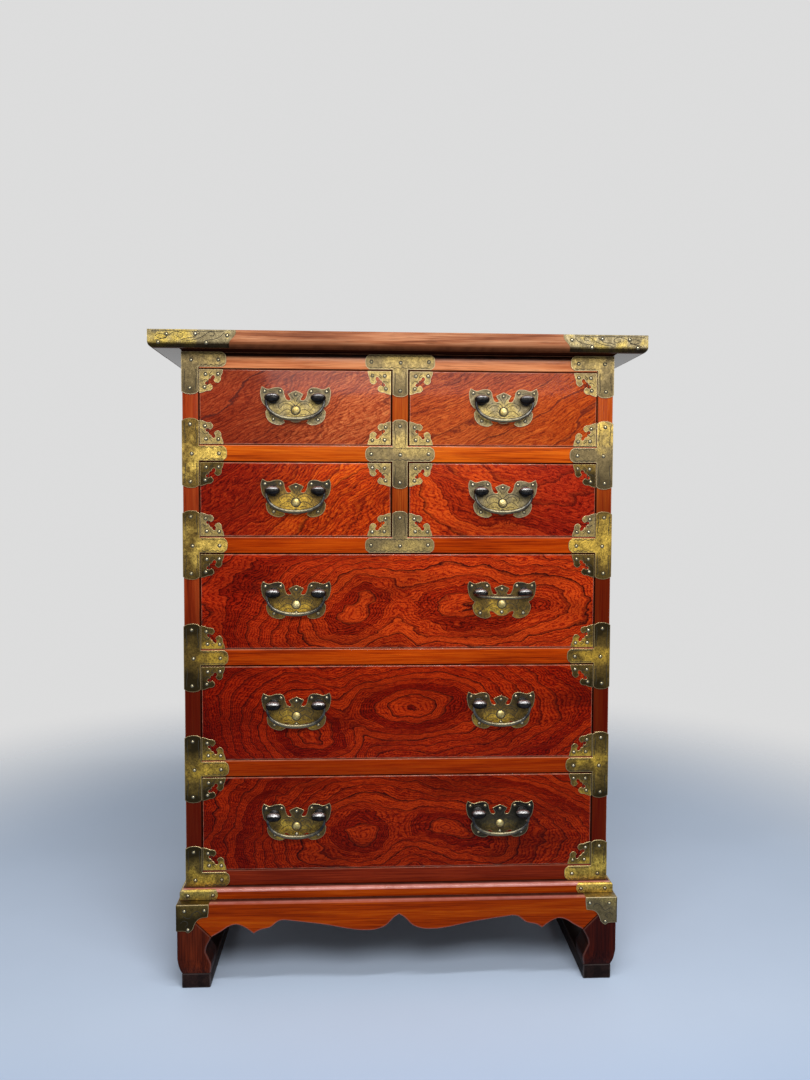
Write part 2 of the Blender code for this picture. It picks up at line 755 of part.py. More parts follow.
def make_pull(name, drawer, x, mid):
    """A pull: a plate with two posts and a stud, and the bail that hangs between the posts."""
    back = FRONT_Y - SEAT
    face = back - PLATE_THICK
    axis_y = face - PIVOT_OUT
    axis_z = mid + PIVOT_ABOVE_CENTRE
    centre = (x, back - PLATE_THICK / 2, mid)
    base = plate(
        f"{name}_plate", mirror_points(pull_outline()), PLATE_THICK, centre, PLATE_BRASS, parent=drawer
    )
    eye_radius = (BAIL_END_RADIUS + PIN_GAP) / math.cos(math.pi / ROUND_SIDES)
    posts = []
    holes = []
    for sign in (-1, 1):
        post_x = x + sign * POST_SPACING / 2
        turns = [math.radians(turn) for turn in (0, 40, 90, 140)]
        knob = [(KNOB_RADIUS * math.sin(turn), PIVOT_OUT + KNOB_RADIUS * math.cos(turn)) for turn in turns]
        neck = [(NECK_RADIUS, -PLATE_THICK / 2), (0.0, -PLATE_THICK / 2)]
        posts.append(turned(f"{name}_post_{sign}", knob + neck, (post_x, face, axis_z)))
        bm = bmesh.new()
        bmesh.ops.create_cone(
            bm,
            cap_ends=True,
            segments=ROUND_SIDES,
            radius1=eye_radius,
            radius2=eye_radius,
            depth=4 * KNOB_RADIUS,
            matrix=Matrix.Rotation(math.pi / 2, 4, "Y"),
        )
        mesh = bpy.data.meshes.new(f"{name}_eye_{sign}")
        bm.to_mesh(mesh)
        bm.free()
        holes.append(add_object(f"{name}_eye_{sign}", mesh, PLATE_BRASS, (post_x, axis_y, axis_z)))
    dome = [
        (0.0, STUD_HEIGHT),
        (STUD_RADIUS * 0.7, STUD_HEIGHT * 0.75),
        (STUD_RADIUS, -PLATE_THICK / 2),
        (0.0, -PLATE_THICK / 2),
    ]
    stud = turned(f"{name}_stud", dome, (x, face, mid - STUD_BELOW_CENTRE))
    boolean(base, "UNION", *posts, stud)
    boolean(base, "DIFFERENCE", *holes)
    bail = make_bail(f"{name}_bail", drawer, (x, axis_y, axis_z))
    if name == RAISED_PULL:
        bail.rotation_euler = (-math.radians(RAISED_ANGLE), 0.0, 0.0)


def bail_path():
    """Half a bail from its tip to the middle of the grip: across, up and radius, from the pivot."""
    hook_x = BAIL_HALF - BAIL_HOOK
    path = [
        (BAIL_TIP, 0.0, BAIL_END_RADIUS * 0.7),
        (BAIL_TIP + BAIL_END_RADIUS * 0.7, 0.0, BAIL_END_RADIUS),
        (hook_x, 0.0, BAIL_END_RADIUS),
    ]
    for turn in (30, 60):
        angle = math.radians(turn)
        x = hook_x + BAIL_HOOK * math.sin(angle)
        path.append((x, BAIL_HOOK * (math.cos(angle) - 1), BAIL_END_RADIUS))
    deep = BAIL_DROP - BAIL_HOOK
    for step in range(GRIP_STEPS):
        angle = math.pi / 2 * step / (GRIP_STEPS - 1)
        across = math.cos(angle) ** 0.9
        down = math.sin(angle) ** 0.9
        radius = BAIL_END_RADIUS + (GRIP_RADIUS - BAIL_END_RADIUS) * math.sin(angle) ** 1.5
        path.append((BAIL_HALF * across, -BAIL_HOOK - deep * down, radius))
    path[-1] = (0.0, *path[-1][1:])
    return path


def make_bail(name, drawer, pivot):
    """A bail, swelling towards the grip, with its origin on the line between the two posts."""
    half = bail_path()
    points = half + [(-x, z, radius) for x, z, radius in reversed(half[:-1])]
    curve = bpy.data.curves.new(name, "CURVE")
    curve.dimensions = "3D"
    curve.bevel_depth = GRIP_RADIUS
    curve.bevel_resolution = 2
    curve.use_fill_caps = True
    spline = curve.splines.new("POLY")
    spline.points.add(len(points) - 1)
    for knot, (x, z, radius) in zip(spline.points, points):
        knot.co = (x, 0.0, z, 1.0)
        knot.radius = radius / GRIP_RADIUS
    return add_object(name, curve, BAIL_BRONZE, pivot, drawer)


def make_drawer(name, low, high, left, right, pulls):
    """A drawer in its opening: a front with corner mounts, a box behind it, and its pulls."""
    drawer = bpy.data.objects.new(name, None)
    drawer.location = ((left + right) / 2, FRONT_Y, low + RUNNING_GAP)
    parts.objects.link(drawer)
    bpy.context.view_layer.update()
    front_low = (left + DRAWER_GAP, FRONT_Y, low + DRAWER_GAP)
    front_high = (right - DRAWER_GAP, FRONT_Y + FRONT_THICK, high - DRAWER_GAP)
    front = block(f"{name}_front", front_low, front_high, FRONT_WOOD, drawer)
    corners = []
    for sign_x, x in ((1, front_low[0]), (-1, front_high[0])):
        for sign_z, z in ((1, front_low[2]), (-1, front_high[2])):
            centre = (x, FRONT_Y + (SUNK - MOUNT_PROUD) / 2, z)
            corners.append(
                plate(
                    f"{name}_corner_{sign_x}_{sign_z}",
                    corner_outline(sign_x, sign_z),
                    MOUNT_PROUD + SUNK,
                    centre,
                    PLATE_BRASS,
                )
            )
    boolean(front, "UNION", merged(f"{name}_corners", corners))
    box_low = Vector((front_low[0], FRONT_Y + FRONT_THICK + SEAT, low + RUNNING_GAP))
    box_high = Vector((front_high[0], BACK_Y - BACK_THICK - BOX_BEHIND, high - BOX_BELOW_OPENING))
    box = block(f"{name}_box", box_low, box_high, INSIDE_WOOD, drawer)
    hollow_low = box_low + Vector((BOX_WALL, BOX_WALL, BOX_BOTTOM))
    hollow_high = box_high + Vector((-BOX_WALL, -BOX_WALL, BOX_WALL))
    boolean(box, "DIFFERENCE", block(f"{name}_hollow", hollow_low, hollow_high, INSIDE_WOOD))
    for pull, x in pulls:
        make_pull(pull, drawer, x, (low + high) / 2 + PULL_RISE)


def make_drawers():
    """Seven drawers; the two pulls of a wide one line up with those of the small ones above."""
    inner = POST_WIDTH / 2
    pull_x = (inner + HALF_OPENING) / 2
    for (row, _, count), (low, high) in zip(ROWS, LEVELS):
        if count == 1:
            pulls = ((f"{row}_left", -pull_x), (f"{row}_right", pull_x))
            make_drawer(f"{row}_drawer", low, high, -HALF_OPENING, HALF_OPENING, pulls)
            continue
        for side, sign in (("left", -1), ("right", 1)):
            across = sorted((sign * inner, sign * HALF_OPENING))
            pulls = ((f"{row}_{side}", sign * pull_x),)
            make_drawer(f"{row}_{side}_drawer", low, high, *across, pulls)


make_case()
make_top()
make_moulding()
make_legs()
make_aprons()
make_runners()
make_drawers()
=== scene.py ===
import math

import bmesh
import bpy
from mathutils import Matrix, Vector


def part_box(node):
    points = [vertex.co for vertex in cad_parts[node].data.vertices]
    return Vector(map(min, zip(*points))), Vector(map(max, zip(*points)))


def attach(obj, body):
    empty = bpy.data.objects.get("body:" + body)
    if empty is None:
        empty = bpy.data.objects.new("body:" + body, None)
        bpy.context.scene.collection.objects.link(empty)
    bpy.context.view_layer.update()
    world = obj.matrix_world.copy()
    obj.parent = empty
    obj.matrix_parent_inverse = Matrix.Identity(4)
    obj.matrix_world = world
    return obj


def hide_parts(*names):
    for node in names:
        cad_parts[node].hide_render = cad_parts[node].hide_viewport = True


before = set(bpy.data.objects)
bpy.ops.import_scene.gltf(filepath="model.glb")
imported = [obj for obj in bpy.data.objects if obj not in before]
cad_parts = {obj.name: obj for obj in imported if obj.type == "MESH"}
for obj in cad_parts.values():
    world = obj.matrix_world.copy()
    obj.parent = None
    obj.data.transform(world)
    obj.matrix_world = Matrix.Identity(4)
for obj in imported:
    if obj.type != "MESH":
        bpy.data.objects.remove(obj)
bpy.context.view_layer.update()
room = bpy.context.scene
room.view_settings.view_transform = "Standard"
print("frame loaded with", len(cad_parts), "solids")

# sizes that the pieces share, in metres
chest = {
    "stile": 0.0265, "stileDeep": 0.03, "railDeep": 0.036, "frontThick": 0.02,
    "side": 0.016, "backPanel": 0.006,
    "postSetback": 0.001, "railSetback": 0.0005,  # behind the plane of the drawer fronts
    "seat": 0.0003,  # gap between pieces that touch
    "proud": 0.001,  # how far brass stands off the wood
}
seat = chest["seat"]
proud = chest["proud"]

# planes and levels read from the solids
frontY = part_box("upper_centre_post")[0].y - chest["postSetback"]
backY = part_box("back_panel")[1].y
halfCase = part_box("right_side")[1].x
halfOpening = halfCase - chest["stile"]
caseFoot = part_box("base_moulding")[1].z
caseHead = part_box("top_board")[0].z

camera = {
    "yaw": 2.7613,
    "pitch": -2.7365,
    "roll": 0.2113,
    "place": (-0.0575, frontY - 1.3712, 0.8028),
    "lens": 27.8,
    "sensor": 36.0,
}


def makeCamera():
    yaw, pitch, roll = (math.radians(camera[key]) for key in ("yaw", "pitch", "roll"))
    ahead = Vector((math.sin(yaw) * math.cos(pitch), math.cos(yaw) * math.cos(pitch), math.sin(pitch)))
    level = Vector((math.cos(yaw), -math.sin(yaw), 0.0))
    above = level.cross(ahead)
    right = level * math.cos(roll) + above * math.sin(roll)
    up = above * math.cos(roll) - level * math.sin(roll)
    turn = Matrix((right, up, -ahead)).transposed().to_4x4()
    turn.translation = Vector(camera["place"])
    lens = bpy.data.cameras.new("studioCamera")
    lens.lens = camera["lens"]
    lens.sensor_width = camera["sensor"]
    view = bpy.data.objects.new("studioCamera", lens)
    view.matrix_world = turn
    room.collection.objects.link(view)
    room.camera = view


makeCamera()
print("camera set")


class Wire:
    # one socket of a node tree: arithmetic on wires adds Math nodes, node() adds any other
    def __init__(self, tree, socket):
        self.tree = tree
        self.socket = socket

    def node(self, kind, settings=None, links=None, output=0):
        made = self.tree.nodes.new(kind)
        for key, value in (settings or {}).items():
            if key == "stops":
                ramp = made.color_ramp
                ramp.elements.remove(ramp.elements[1])
                ramp.elements[0].position = value[0][0]
                ramp.elements[0].color = (*value[0][1], 1.0)
                for place, colour in value[1:]:
                    ramp.elements.new(place).color = (*colour, 1.0)
            else:
                setattr(made, key, value)
        for key, value in (links or {}).items():
            if isinstance(value, Wire):
                self.tree.links.new(value.socket, made.inputs[key])
            else:
                made.inputs[key].default_value = value
        return Wire(self.tree, made.outputs[output])

    def calc(self, operation, first, second=0.0, third=0.0):
        return self.node("ShaderNodeMath", {"operation": operation}, {0: first, 1: second, 2: third})

    def __add__(self, other):
        return self.calc("ADD", self, other)

    def __radd__(self, other):
        return self.calc("ADD", other, self)

    def __sub__(self, other):
        return self.calc("SUBTRACT", self, other)

    def __rsub__(self, other):
        return self.calc("SUBTRACT", other, self)

    def __mul__(self, other):
        return self.calc("MULTIPLY", self, other)

    def __rmul__(self, other):
        return self.calc("MULTIPLY", other, self)

    def __truediv__(self, other):
        return self.calc("DIVIDE", self, other)

    def __rtruediv__(self, other):
        return self.calc("DIVIDE", other, self)

    def fract(self):
        return self.calc("FRACT", self)

    def absolute(self):
        return self.calc("ABSOLUTE", self)

    def clamped(self):
        return self.node("ShaderNodeClamp", None, {"Value": self})

    def axis(self, index):
        # x 0, y 1 or z 2 of a vector
        return self.node("ShaderNodeSeparateXYZ", None, {0: self}, index)

    def soft(self, start, end):
        # a soft step, 0 at the start and 1 at the end
        links = {"Value": self, "From Min": start, "From Max": end}
        return self.node("ShaderNodeMapRange", {"interpolation_type": "SMOOTHSTEP"}, links)

    def vector(self, operation, other=(0.0, 0.0, 0.0), output=0):
        return self.node("ShaderNodeVectorMath", {"operation": operation}, {0: self, 1: other}, output)

    def length(self):
        return self.vector("LENGTH", output=1)

    def laid(self, centre=(0, 0, 0), turn=(0, 0, 0), size=(1, 1, 1)):
        turn = tuple(math.radians(angle) for angle in turn)
        links = {"Vector": self, "Location": centre, "Rotation": turn, "Scale": size}
        return self.node("ShaderNodeMapping", {"vector_type": "TEXTURE"}, links)

    def noise(self, scale, detail=2.0, rough=0.5, bend=0.0, output=0):
        links = {"Vector": self, "Scale": scale, "Detail": detail, "Roughness": rough, "Distortion": bend}
        return self.node("ShaderNodeTexNoise", None, links, output)

    def ramp(self, *stops):
        stops = [(place, (tone,) * 3 if isinstance(tone, (int, float)) else tone) for place, tone in stops]
        return self.node("ShaderNodeValToRGB", {"stops": stops}, {"Fac": self})

    def mixed(self, first, second, blend="MIX"):
        settings = {"data_type": "RGBA", "blend_type": blend}
        first, second = (item if isinstance(item, Wire) else (*item, 1.0) for item in (first, second))
        return self.node("ShaderNodeMix", settings, {0: self, 6: first, 7: second}, 2)

    def bump(self, strength, distance):
        links = {"Height": self, "Strength": strength, "Distance": distance}
        return self.node("ShaderNodeBump", None, links)

    def marked(self, name, output=2):
        # what the pieces note on their faces: worn, and grime with painted shade, as a number, heart as a
        # place
        return self.node("ShaderNodeAttribute", {"attribute_name": name}, None, output)


def startFinish(name, **constants):
    # a material with its shader and the wire of its object coordinates
    material = bpy.data.materials.new(name)
    material.use_nodes = True
    tree = material.node_tree
    shader = tree.nodes["Principled BSDF"]
    for socket, value in constants.items():
        shader.inputs[socket.replace("_", " ")].default_value = value
    coords = Wire(tree, tree.nodes.new("ShaderNodeTexCoord").outputs["Object"])
    return material, shader, coords


def feed(shader, **wires):
    for socket, wire in wires.items():
        wire.tree.links.new(wire.socket, shader.inputs[socket.replace("_", " ")])


# what every lacquered wood shares; grain sizes in metres
lacquer = {"Specular_IOR_Level": 0.025, "Coat_Roughness": 0.12, "Coat_IOR": 1.45}
grainLook = {
    "band": (0.05, 0.9), "fibre": 0.0018, "pore": 0.0007, "stretch": 45, "relief": (0.12, 0.0006),
    # the dark of the gaps and hollows is painted shade with some dirt
    "shadeAndDirt": (0.01, 0.004, 0.002), "shadeAndDirtDepth": 0.9,
}


def drawnOut(along, cell, long=None):
    # cell size of a noise that runs along one axis, x 0, y 1 or z 2
    size = [cell, cell, cell]
    size[along] = long or cell * grainLook["stretch"]
    return tuple(size)


def shadedAndDirtied(coords, colour):
    # darkens the gaps and hollows that the pieces mark: painted shade there, with some dirt
    return (coords.marked("grime") * grainLook["shadeAndDirtDepth"]).mixed(colour, grainLook["shadeAndDirt"])


def plainWood(name, look):
    # straight grain along one axis, with soft growth bands, fibres and pores
    material, shader, coords = startFinish(name, **{**lacquer, **look.get("gloss", {})})
    along = look["along"]
    dark, middle, light = look["tones"]
    broad = coords.laid(look["shift"], size=drawnOut(along, *grainLook["band"])).noise(1.0, 2.0, 0.5, 0.4)
    bands = (broad * look["bands"]).fract()
    bands = bands.ramp((0.0, 0.15), (0.15, 0.7), (0.6, 1.0), (0.88, 0.35), (1.0, 0.15))
    fibre = coords.laid(size=drawnOut(along, grainLook["fibre"])).noise(1.0, 3.0, 0.6)
    fibre = fibre.ramp((0.28, 0.0), (0.72, 1.0))
    pores = coords.laid(size=drawnOut(along, grainLook["pore"])).noise(1.0, 1.0, 0.5)
    pores = pores.ramp((0.6, 0.0), (0.7, 1.0))
    tone = bands * look["bandDepth"] + fibre * (1.0 - look["bandDepth"])
    colour = tone.ramp((0.1, dark), (0.5, middle), (0.92, light))
    patch = coords.noise(5.0, 2.0).ramp((0.35, 0.0), (0.72, 1.0))
    colour = (patch * look["patch"]).mixed(colour, dark)
    edge = coords.marked("worn")
    worn = edge * coords.noise(60.0, 3.0).ramp((0.3, 0.6), (0.6, 1.0))
    coat = look["coat"] + edge * look["edgeCoat"]
    if "deepens" in look:
        deep = coords.axis(look["deepAxis"]).soft(*look["deepens"]) * look["deep"]
        colour = deep.mixed(colour, look["deepColour"])
        coat = coat * (1.0 - deep)
        if look["deepAxis"] == 1:  # the painted shade and dirt on a ledge lie over the worn edge too
            worn = worn * (1.0 - deep)
    if "shinyFrom" in look:
        coat = coat + coords.calc("GREATER_THAN", coords.axis(0).absolute(), look["shinyFrom"])
    colour = (pores * 0.45).mixed(colour, look["pore"])
    colour = shadedAndDirtied(coords, (worn * look["wear"]).mixed(colour, look["edge"]))
    rough = look["rough"] + fibre * 0.08 + pores * 0.12 - edge * 0.06
    height = fibre * 0.35 - pores * 0.6 + bands * 0.15
    feed(shader, Base_Color=colour, Roughness=rough, Normal=height.bump(*grainLook["relief"]))
    feed(shader, Coat_Weight=coat.clamped())
    return material


def veneer(name, look):
    # figured wood: growth lines are the contours of warped rings round one or two hearts
    material, shader, coords = startFinish(name, **lacquer)
    dark, middle, light = look["tones"]
    run = (0, look["turn"], 0)
    drift = coords.noise(look["driftScale"], 3.0, 0.55, output=1).vector("SUBTRACT", (0.5, 0.5, 0.5))
    warped = coords.vector("ADD", drift.vector("MULTIPLY", (look["drift"],) * 3))
    reach = None
    for heart in look["hearts"]:
        ring = warped.laid(heart["centre"], (0, heart.get("turn", 0.0), 0), heart["size"]).length()
        reach = ring if reach is None else coords.calc("SMOOTH_MIN", reach, ring, 0.35)
    hills = warped.laid(look["shift"], run, look["hillSize"]).noise(1.0, 3.0, 0.55, 0.3)
    jag = coords.noise(230.0, 3.0, 0.7) - 0.5
    field = reach * look["rings"] + hills * look["hills"] + jag * look["jag"]
    start, darkest = look["lineStart"], 0.96
    swell = start * 0.4 + darkest * 0.6
    lines = field.fract()
    lines = lines.ramp((0.0, 0.7), (0.05, 0.05), (start, 0.0), (swell, 0.6), (darkest, 1.0), (1.0, 0.85))
    whole = {"W": coords.calc("FLOOR", field)}
    chance = coords.node("ShaderNodeTexWhiteNoise", {"noise_dimensions": "1D"}, whole)
    fine = (field * look["fineLines"] + jag * look["fineJag"]).fract()
    fine = fine.ramp((0.0, 0.0), (0.22, 1.0), (0.7, 0.8), (1.0, 0.0))
    fibre = warped.laid(turn=run, size=drawnOut(0, look["fibre"])).noise(1.0, 4.0, 0.68)
    fibre = fibre.ramp((0.32, 0.0), (0.68, 1.0))
    fleck = warped.laid(turn=run, size=look["fleckSize"]).noise(1.0, 3.0, 0.75)
    fleck = fleck.ramp((0.36, 0.0), (0.64, 1.0))
    pores = warped.laid(turn=run, size=look["poreSize"]).noise(1.0, 1.0, 0.5)
    pores = pores.ramp((0.58, 0.0), (0.66, 1.0))
    tone = fibre * look["fibreDepth"] + fine * look["fineDepth"] + fleck * look["fleckDepth"]
    tone = tone + (chance - 0.5) * look["chance"]
    colour = tone.ramp((0.16, dark), (0.5, middle), (0.84, light))
    patch = warped.laid(look["shift"], run, look["patchSize"]).noise(1.0, 2.0)
    patch = patch.ramp((0.45, 0.0), (0.72, 1.0))
    colour = (patch * look["patch"]).mixed(colour, dark)
    # darker towards one end: partly the wood's own tone, partly painted shade from how the light falls
    colour = coords.axis(0).soft(*look["shade"]).mixed(colour, look["shadeColour"], "MULTIPLY")
    stroke = (lines * (0.15 + chance) * look["lineDepth"]).clamped()
    colour = stroke.mixed(colour, look["line"])
    colour = (pores * look["poreDepth"]).mixed(colour, look["pore"])
    edge = coords.marked("worn")
    worn = edge * coords.noise(70.0, 3.0).ramp((0.25, 0.1), (0.65, 1.0))
    colour = shadedAndDirtied(coords, (worn * 0.6).mixed(colour, look["edge"]))
    rough = look["rough"] + fibre * 0.08 + pores * 0.12 - edge * 0.05
    height = fibre * 0.35 - pores * 0.6 - lines * 0.2
    feed(shader, Base_Color=colour, Roughness=rough, Normal=height.bump(*grainLook["relief"]))
    feed(shader, Coat_Weight=(look["coat"] + edge * 0.5).clamped())
    return material


# plain woods: grain axis (x 0, y 1, z 2), dark, middle and light tone; deepens is where along
# deepAxis the wood starts to darken and where it is darkest. The darkening is painted shade in whole or in
# part.
plainBase = {
    "bands": 6.0, "bandDepth": 0.35, "patch": 0.45, "wear": 0.35, "rough": 0.24, "coat": 0.03,
    "edgeCoat": 0.5, "deepAxis": 2,
}
woodLooks = {
    "railWood": {
        "along": 0, "shift": (0.3, 0.1, 0.2), "bands": 5.0, "patch": 0.35, "wear": 0.55, "coat": 0.01,
        "tones": [(0.13, 0.008, 0.001), (0.385, 0.038, 0.001), (0.56, 0.082, 0.003)],
        "pore": (0.1, 0.008, 0.002), "edge": (0.64, 0.25, 0.14),
        # darker towards the bottom: partly the wood's own tone, partly painted shade where less light falls
        "deepens": (0.58, 0.34), "deep": 0.5, "deepColour": (0.15, 0.008, 0.001),
    },
    # paler than the lower rails: partly the wood's own tone, partly painted light where more light falls
    "brightRailWood": {
        "along": 0, "shift": (0.6, 0.2, 0.4), "bands": 5.0, "bandDepth": 0.45, "patch": 0.5, "wear": 0.55,
        "tones": [(0.19, 0.018, 0.002), (0.5, 0.072, 0.003), (0.72, 0.15, 0.008)],
        "pore": (0.1, 0.008, 0.002), "edge": (0.64, 0.25, 0.14), "coat": 0.02,
    },
    "topRailWood": {
        "along": 0, "shift": (0.5, 0.7, 0.2), "bandDepth": 0.4, "patch": 0.25, "wear": 0.45, "coat": 0.25,
        "tones": [(0.35, 0.08, 0.025), (0.7, 0.232, 0.086), (0.85, 0.37, 0.165)],
        "pore": (0.16, 0.03, 0.01), "edge": (0.64, 0.25, 0.14),
        # black at its top: painted shadow under the overhang of the top board
        "deepens": (caseHead - 0.0112, caseHead - 0.006), "deep": 0.99, "deepColour": (0.004, 0.001, 0.001),
    },
    # darker than the rails above: partly the wood's own tone, partly painted shade low down
    "bottomRailWood": {
        "along": 0, "shift": (0.9, 0.4, 0.6), "bands": 5.0, "patch": 0.4, "wear": 0.4,
        "tones": [(0.075, 0.006, 0.002), (0.17, 0.015, 0.004), (0.26, 0.03, 0.007)],
        "pore": (0.045, 0.004, 0.002), "edge": (0.42, 0.13, 0.07),
    },
    "topWood": {
        "along": 0, "shift": (0.7, 0.3, 0.9), "bands": 9.0, "bandDepth": 0.45, "patch": 0.55, "wear": 0.3,
        "tones": [(0.09, 0.018, 0.006), (0.37, 0.126, 0.052), (0.64, 0.3, 0.15)],
        "pore": (0.024, 0.006, 0.003), "edge": (0.3, 0.1, 0.04), "rough": 0.26, "edgeCoat": 0.0,
        # black at the lower rounding of its edge: painted shade under the board
        "deepens": (caseHead + 0.0133, caseHead + 0.0043), "deep": 0.99, "deepColour": (0.01, 0.002, 0.001),
    },
    "underTopShadedWood": {  # near black as painted shade on the underside, matt over the case and shiny outside it
        "along": 0, "shift": (0.2, 0.3, 0.8), "bands": 8.0, "bandDepth": 0.4, "patch": 0.35, "wear": 0.2,
        "tones": [(0.01, 0.003, 0.002), (0.022, 0.006, 0.003), (0.045, 0.012, 0.005)],
        "pore": (0.008, 0.003, 0.002), "edge": (0.045, 0.012, 0.005), "rough": 0.4, "coat": 0.0,
        "edgeCoat": 0.0, "shinyFrom": halfCase - 0.0015, "gloss": {"Specular_IOR_Level": 0.0},
    },
    "stileWood": {
        "along": 2, "shift": (0.2, 0.5, 0.1), "bands": 5.0, "rough": 0.26, "coat": 0.02,
        "tones": [(0.15, 0.013, 0.002), (0.41, 0.062, 0.006), (0.56, 0.12, 0.012)],
        "pore": (0.06, 0.006, 0.002), "edge": (0.52, 0.16, 0.06),
        # darker towards the bottom: partly the wood's own tone, partly painted shade where less light falls
        "deepens": (0.95, 0.72), "deep": 0.88, "deepColour": (0.066, 0.002, 0.001),
    },
    # a darker copy of stileWood for the left stile: painted shade, as less light falls there; it also darkens
    # towards the bottom
    "shadedLeftStileWood": {
        "along": 2, "shift": (0.6, 0.1, 0.8), "bands": 5.0, "patch": 0.55, "rough": 0.26, "coat": 0.02,
        "tones": [(0.1, 0.008, 0.002), (0.3, 0.034, 0.006), (0.42, 0.07, 0.014)],
        "pore": (0.05, 0.005, 0.002), "edge": (0.52, 0.16, 0.06),
        "deepens": (0.78, 0.44), "deep": 0.84, "deepColour": (0.058, 0.002, 0.001),
    },
    "sideWood": {
        "along": 2, "shift": (0.4, 0.6, 0.3), "bands": 7.0, "bandDepth": 0.5, "rough": 0.27, "coat": 0.05,
        "tones": [(0.1, 0.01, 0.003), (0.24, 0.032, 0.007), (0.35, 0.064, 0.013)],
        "pore": (0.06, 0.007, 0.003), "edge": (0.48, 0.15, 0.06),
    },
    "apronWood": {
        "along": 0, "shift": (0.1, 0.8, 0.5), "bandDepth": 0.45, "patch": 0.4, "wear": 0.75, "coat": 0.01,
        "tones": [(0.14, 0.011, 0.001), (0.33, 0.036, 0.001), (0.48, 0.082, 0.003)],
        "pore": (0.07, 0.008, 0.002), "edge": (0.56, 0.22, 0.18), "edgeCoat": 0.8,
    },
    "sideApronWood": {
        "along": 1, "shift": (0.5, 0.8, 0.2), "bandDepth": 0.45, "patch": 0.4, "wear": 0.5, "rough": 0.26,
        "tones": [(0.125, 0.012, 0.002), (0.265, 0.038, 0.003), (0.37, 0.072, 0.006)],
        "pore": (0.07, 0.008, 0.002), "edge": (0.54, 0.24, 0.16),
    },
    "legWood": {
        "along": 2, "shift": (0.9, 0.2, 0.4), "coat": 0.05,
        "tones": [(0.018, 0.003, 0.002), (0.066, 0.009, 0.003), (0.16, 0.023, 0.006)],
        "pore": (0.018, 0.004, 0.003), "edge": (0.17, 0.05, 0.028),
    },
    # near black: painted shade on the inner sides of the legs
    "legInsideShadedWood": {
        "along": 2, "shift": (0.4, 0.9, 0.1), "wear": 0.3, "rough": 0.34, "coat": 0.0,
        "tones": [(0.008, 0.003, 0.002), (0.022, 0.005, 0.003), (0.045, 0.01, 0.005)],
        "pore": (0.008, 0.003, 0.002), "edge": (0.08, 0.03, 0.018),
    },
    # near black: partly the wood's own tone, partly painted shade under the chest
    "runnerWood": {
        "along": 1, "shift": (0.3, 0.3, 0.3), "bandDepth": 0.4, "patch": 0.5, "wear": 0.3, "rough": 0.3,
        "tones": [(0.006, 0.004, 0.004), (0.016, 0.009, 0.008), (0.036, 0.018, 0.015)],
        "pore": (0.006, 0.004, 0.004), "edge": (0.1, 0.065, 0.056),
    },
    "insideWood": {
        "along": 1, "shift": (0.6, 0.2, 0.7), "bandDepth": 0.45, "patch": 0.25, "wear": 0.3, "rough": 0.5,
        "tones": [(0.26, 0.15, 0.07), (0.42, 0.27, 0.14), (0.54, 0.38, 0.22)],
        "pore": (0.18, 0.1, 0.05), "edge": (0.6, 0.45, 0.28), "coat": 0.0,
    },
    "backWood": {
        "along": 2, "shift": (0.8, 0.1, 0.2), "bands": 7.0, "bandDepth": 0.5, "patch": 0.3, "wear": 0.3,
        "tones": [(0.2, 0.105, 0.05), (0.34, 0.2, 0.1), (0.45, 0.29, 0.16)],
        "pore": (0.14, 0.075, 0.035), "edge": (0.52, 0.38, 0.24), "rough": 0.52, "coat": 0.0,
    },
}
# the ledges of the stand are dark in the corner behind their worn edge: painted shade under the step above,
# with dirt
ledgeShadeAndDirt = {"deepAxis": 1, "deep": 0.92, "deepColour": (0.014, 0.003, 0.001)}
# the posts darken towards the bottom as the stiles do: partly the wood's own tone, partly painted shade
woodLooks["postWood"] = {**woodLooks["stileWood"], "deepens": (1.1, 0.5)}
# the paler, pinker edge colour also covers the flat ledge on top, a painted highlight there
woodLooks["mouldWood"] = {
    **woodLooks["apronWood"], **ledgeShadeAndDirt, "edge": (0.72, 0.3, 0.25),
    "deepens": (frontY - 0.0075, frontY - 0.003),
}
woodLooks["frontApronWood"] = {
    **woodLooks["apronWood"], **ledgeShadeAndDirt, "deepens": (frontY - 0.0225, frontY - 0.0165),
}
# a darker copy of legWood: painted shade on the right legs
woodLooks["rightLegWood"] = {
    **woodLooks["legWood"], "tones": [(0.012, 0.002, 0.002), (0.04, 0.005, 0.003), (0.092, 0.011, 0.004)],
}
finishes = {name: plainWood(name, {**plainBase, **look}) for name, look in woodLooks.items()}

# values that the figured fronts share, then what differs from row to row and drawer to drawer. The lower rows
# are darker and the top row paler and pinker, partly the wood and partly painted shade and painted sheen.
frontLook = {
    "driftScale": 9.0, "drift": 0.05, "rings": 4.5, "hills": 4.0, "turn": 0.0,
    "hillSize": (0.2, 0.1, 0.06), "jag": 0.26, "fineJag": 0.6, "lineStart": 0.76, "fineLines": 5.0,
    "lineDepth": 0.92, "fineDepth": 0.44, "fibreDepth": 0.36, "fleckDepth": 0.18, "chance": 0.32,
    "poreDepth": 0.55, "fibre": 0.0021, "fleckSize": (0.011, 0.003, 0.0026),
    "poreSize": (0.01, 0.0007, 0.0009), "patchSize": (0.16, 0.08, 0.05),
    "line": (0.024, 0.002, 0.002), "pore": (0.04, 0.002, 0.002), "edge": (0.6, 0.23, 0.14),
    "patch": 0.55, "rough": 0.22, "coat": 0.02,
}
topRow = {
    "line": (0.06, 0.01, 0.008), "lineDepth": 0.9, "lineStart": 0.93, "fineLines": 8.0, "fineJag": 0.7,
    "fineDepth": 0.28, "fibreDepth": 0.48, "fleckDepth": 0.22, "jag": 0.14, "chance": 0.22, "drift": 0.03,
    "patch": 0.15,
}
secondRow = {
    "rings": 11.0, "lineDepth": 0.8, "fineDepth": 0.34, "fibreDepth": 0.44, "fleckDepth": 0.2,
}
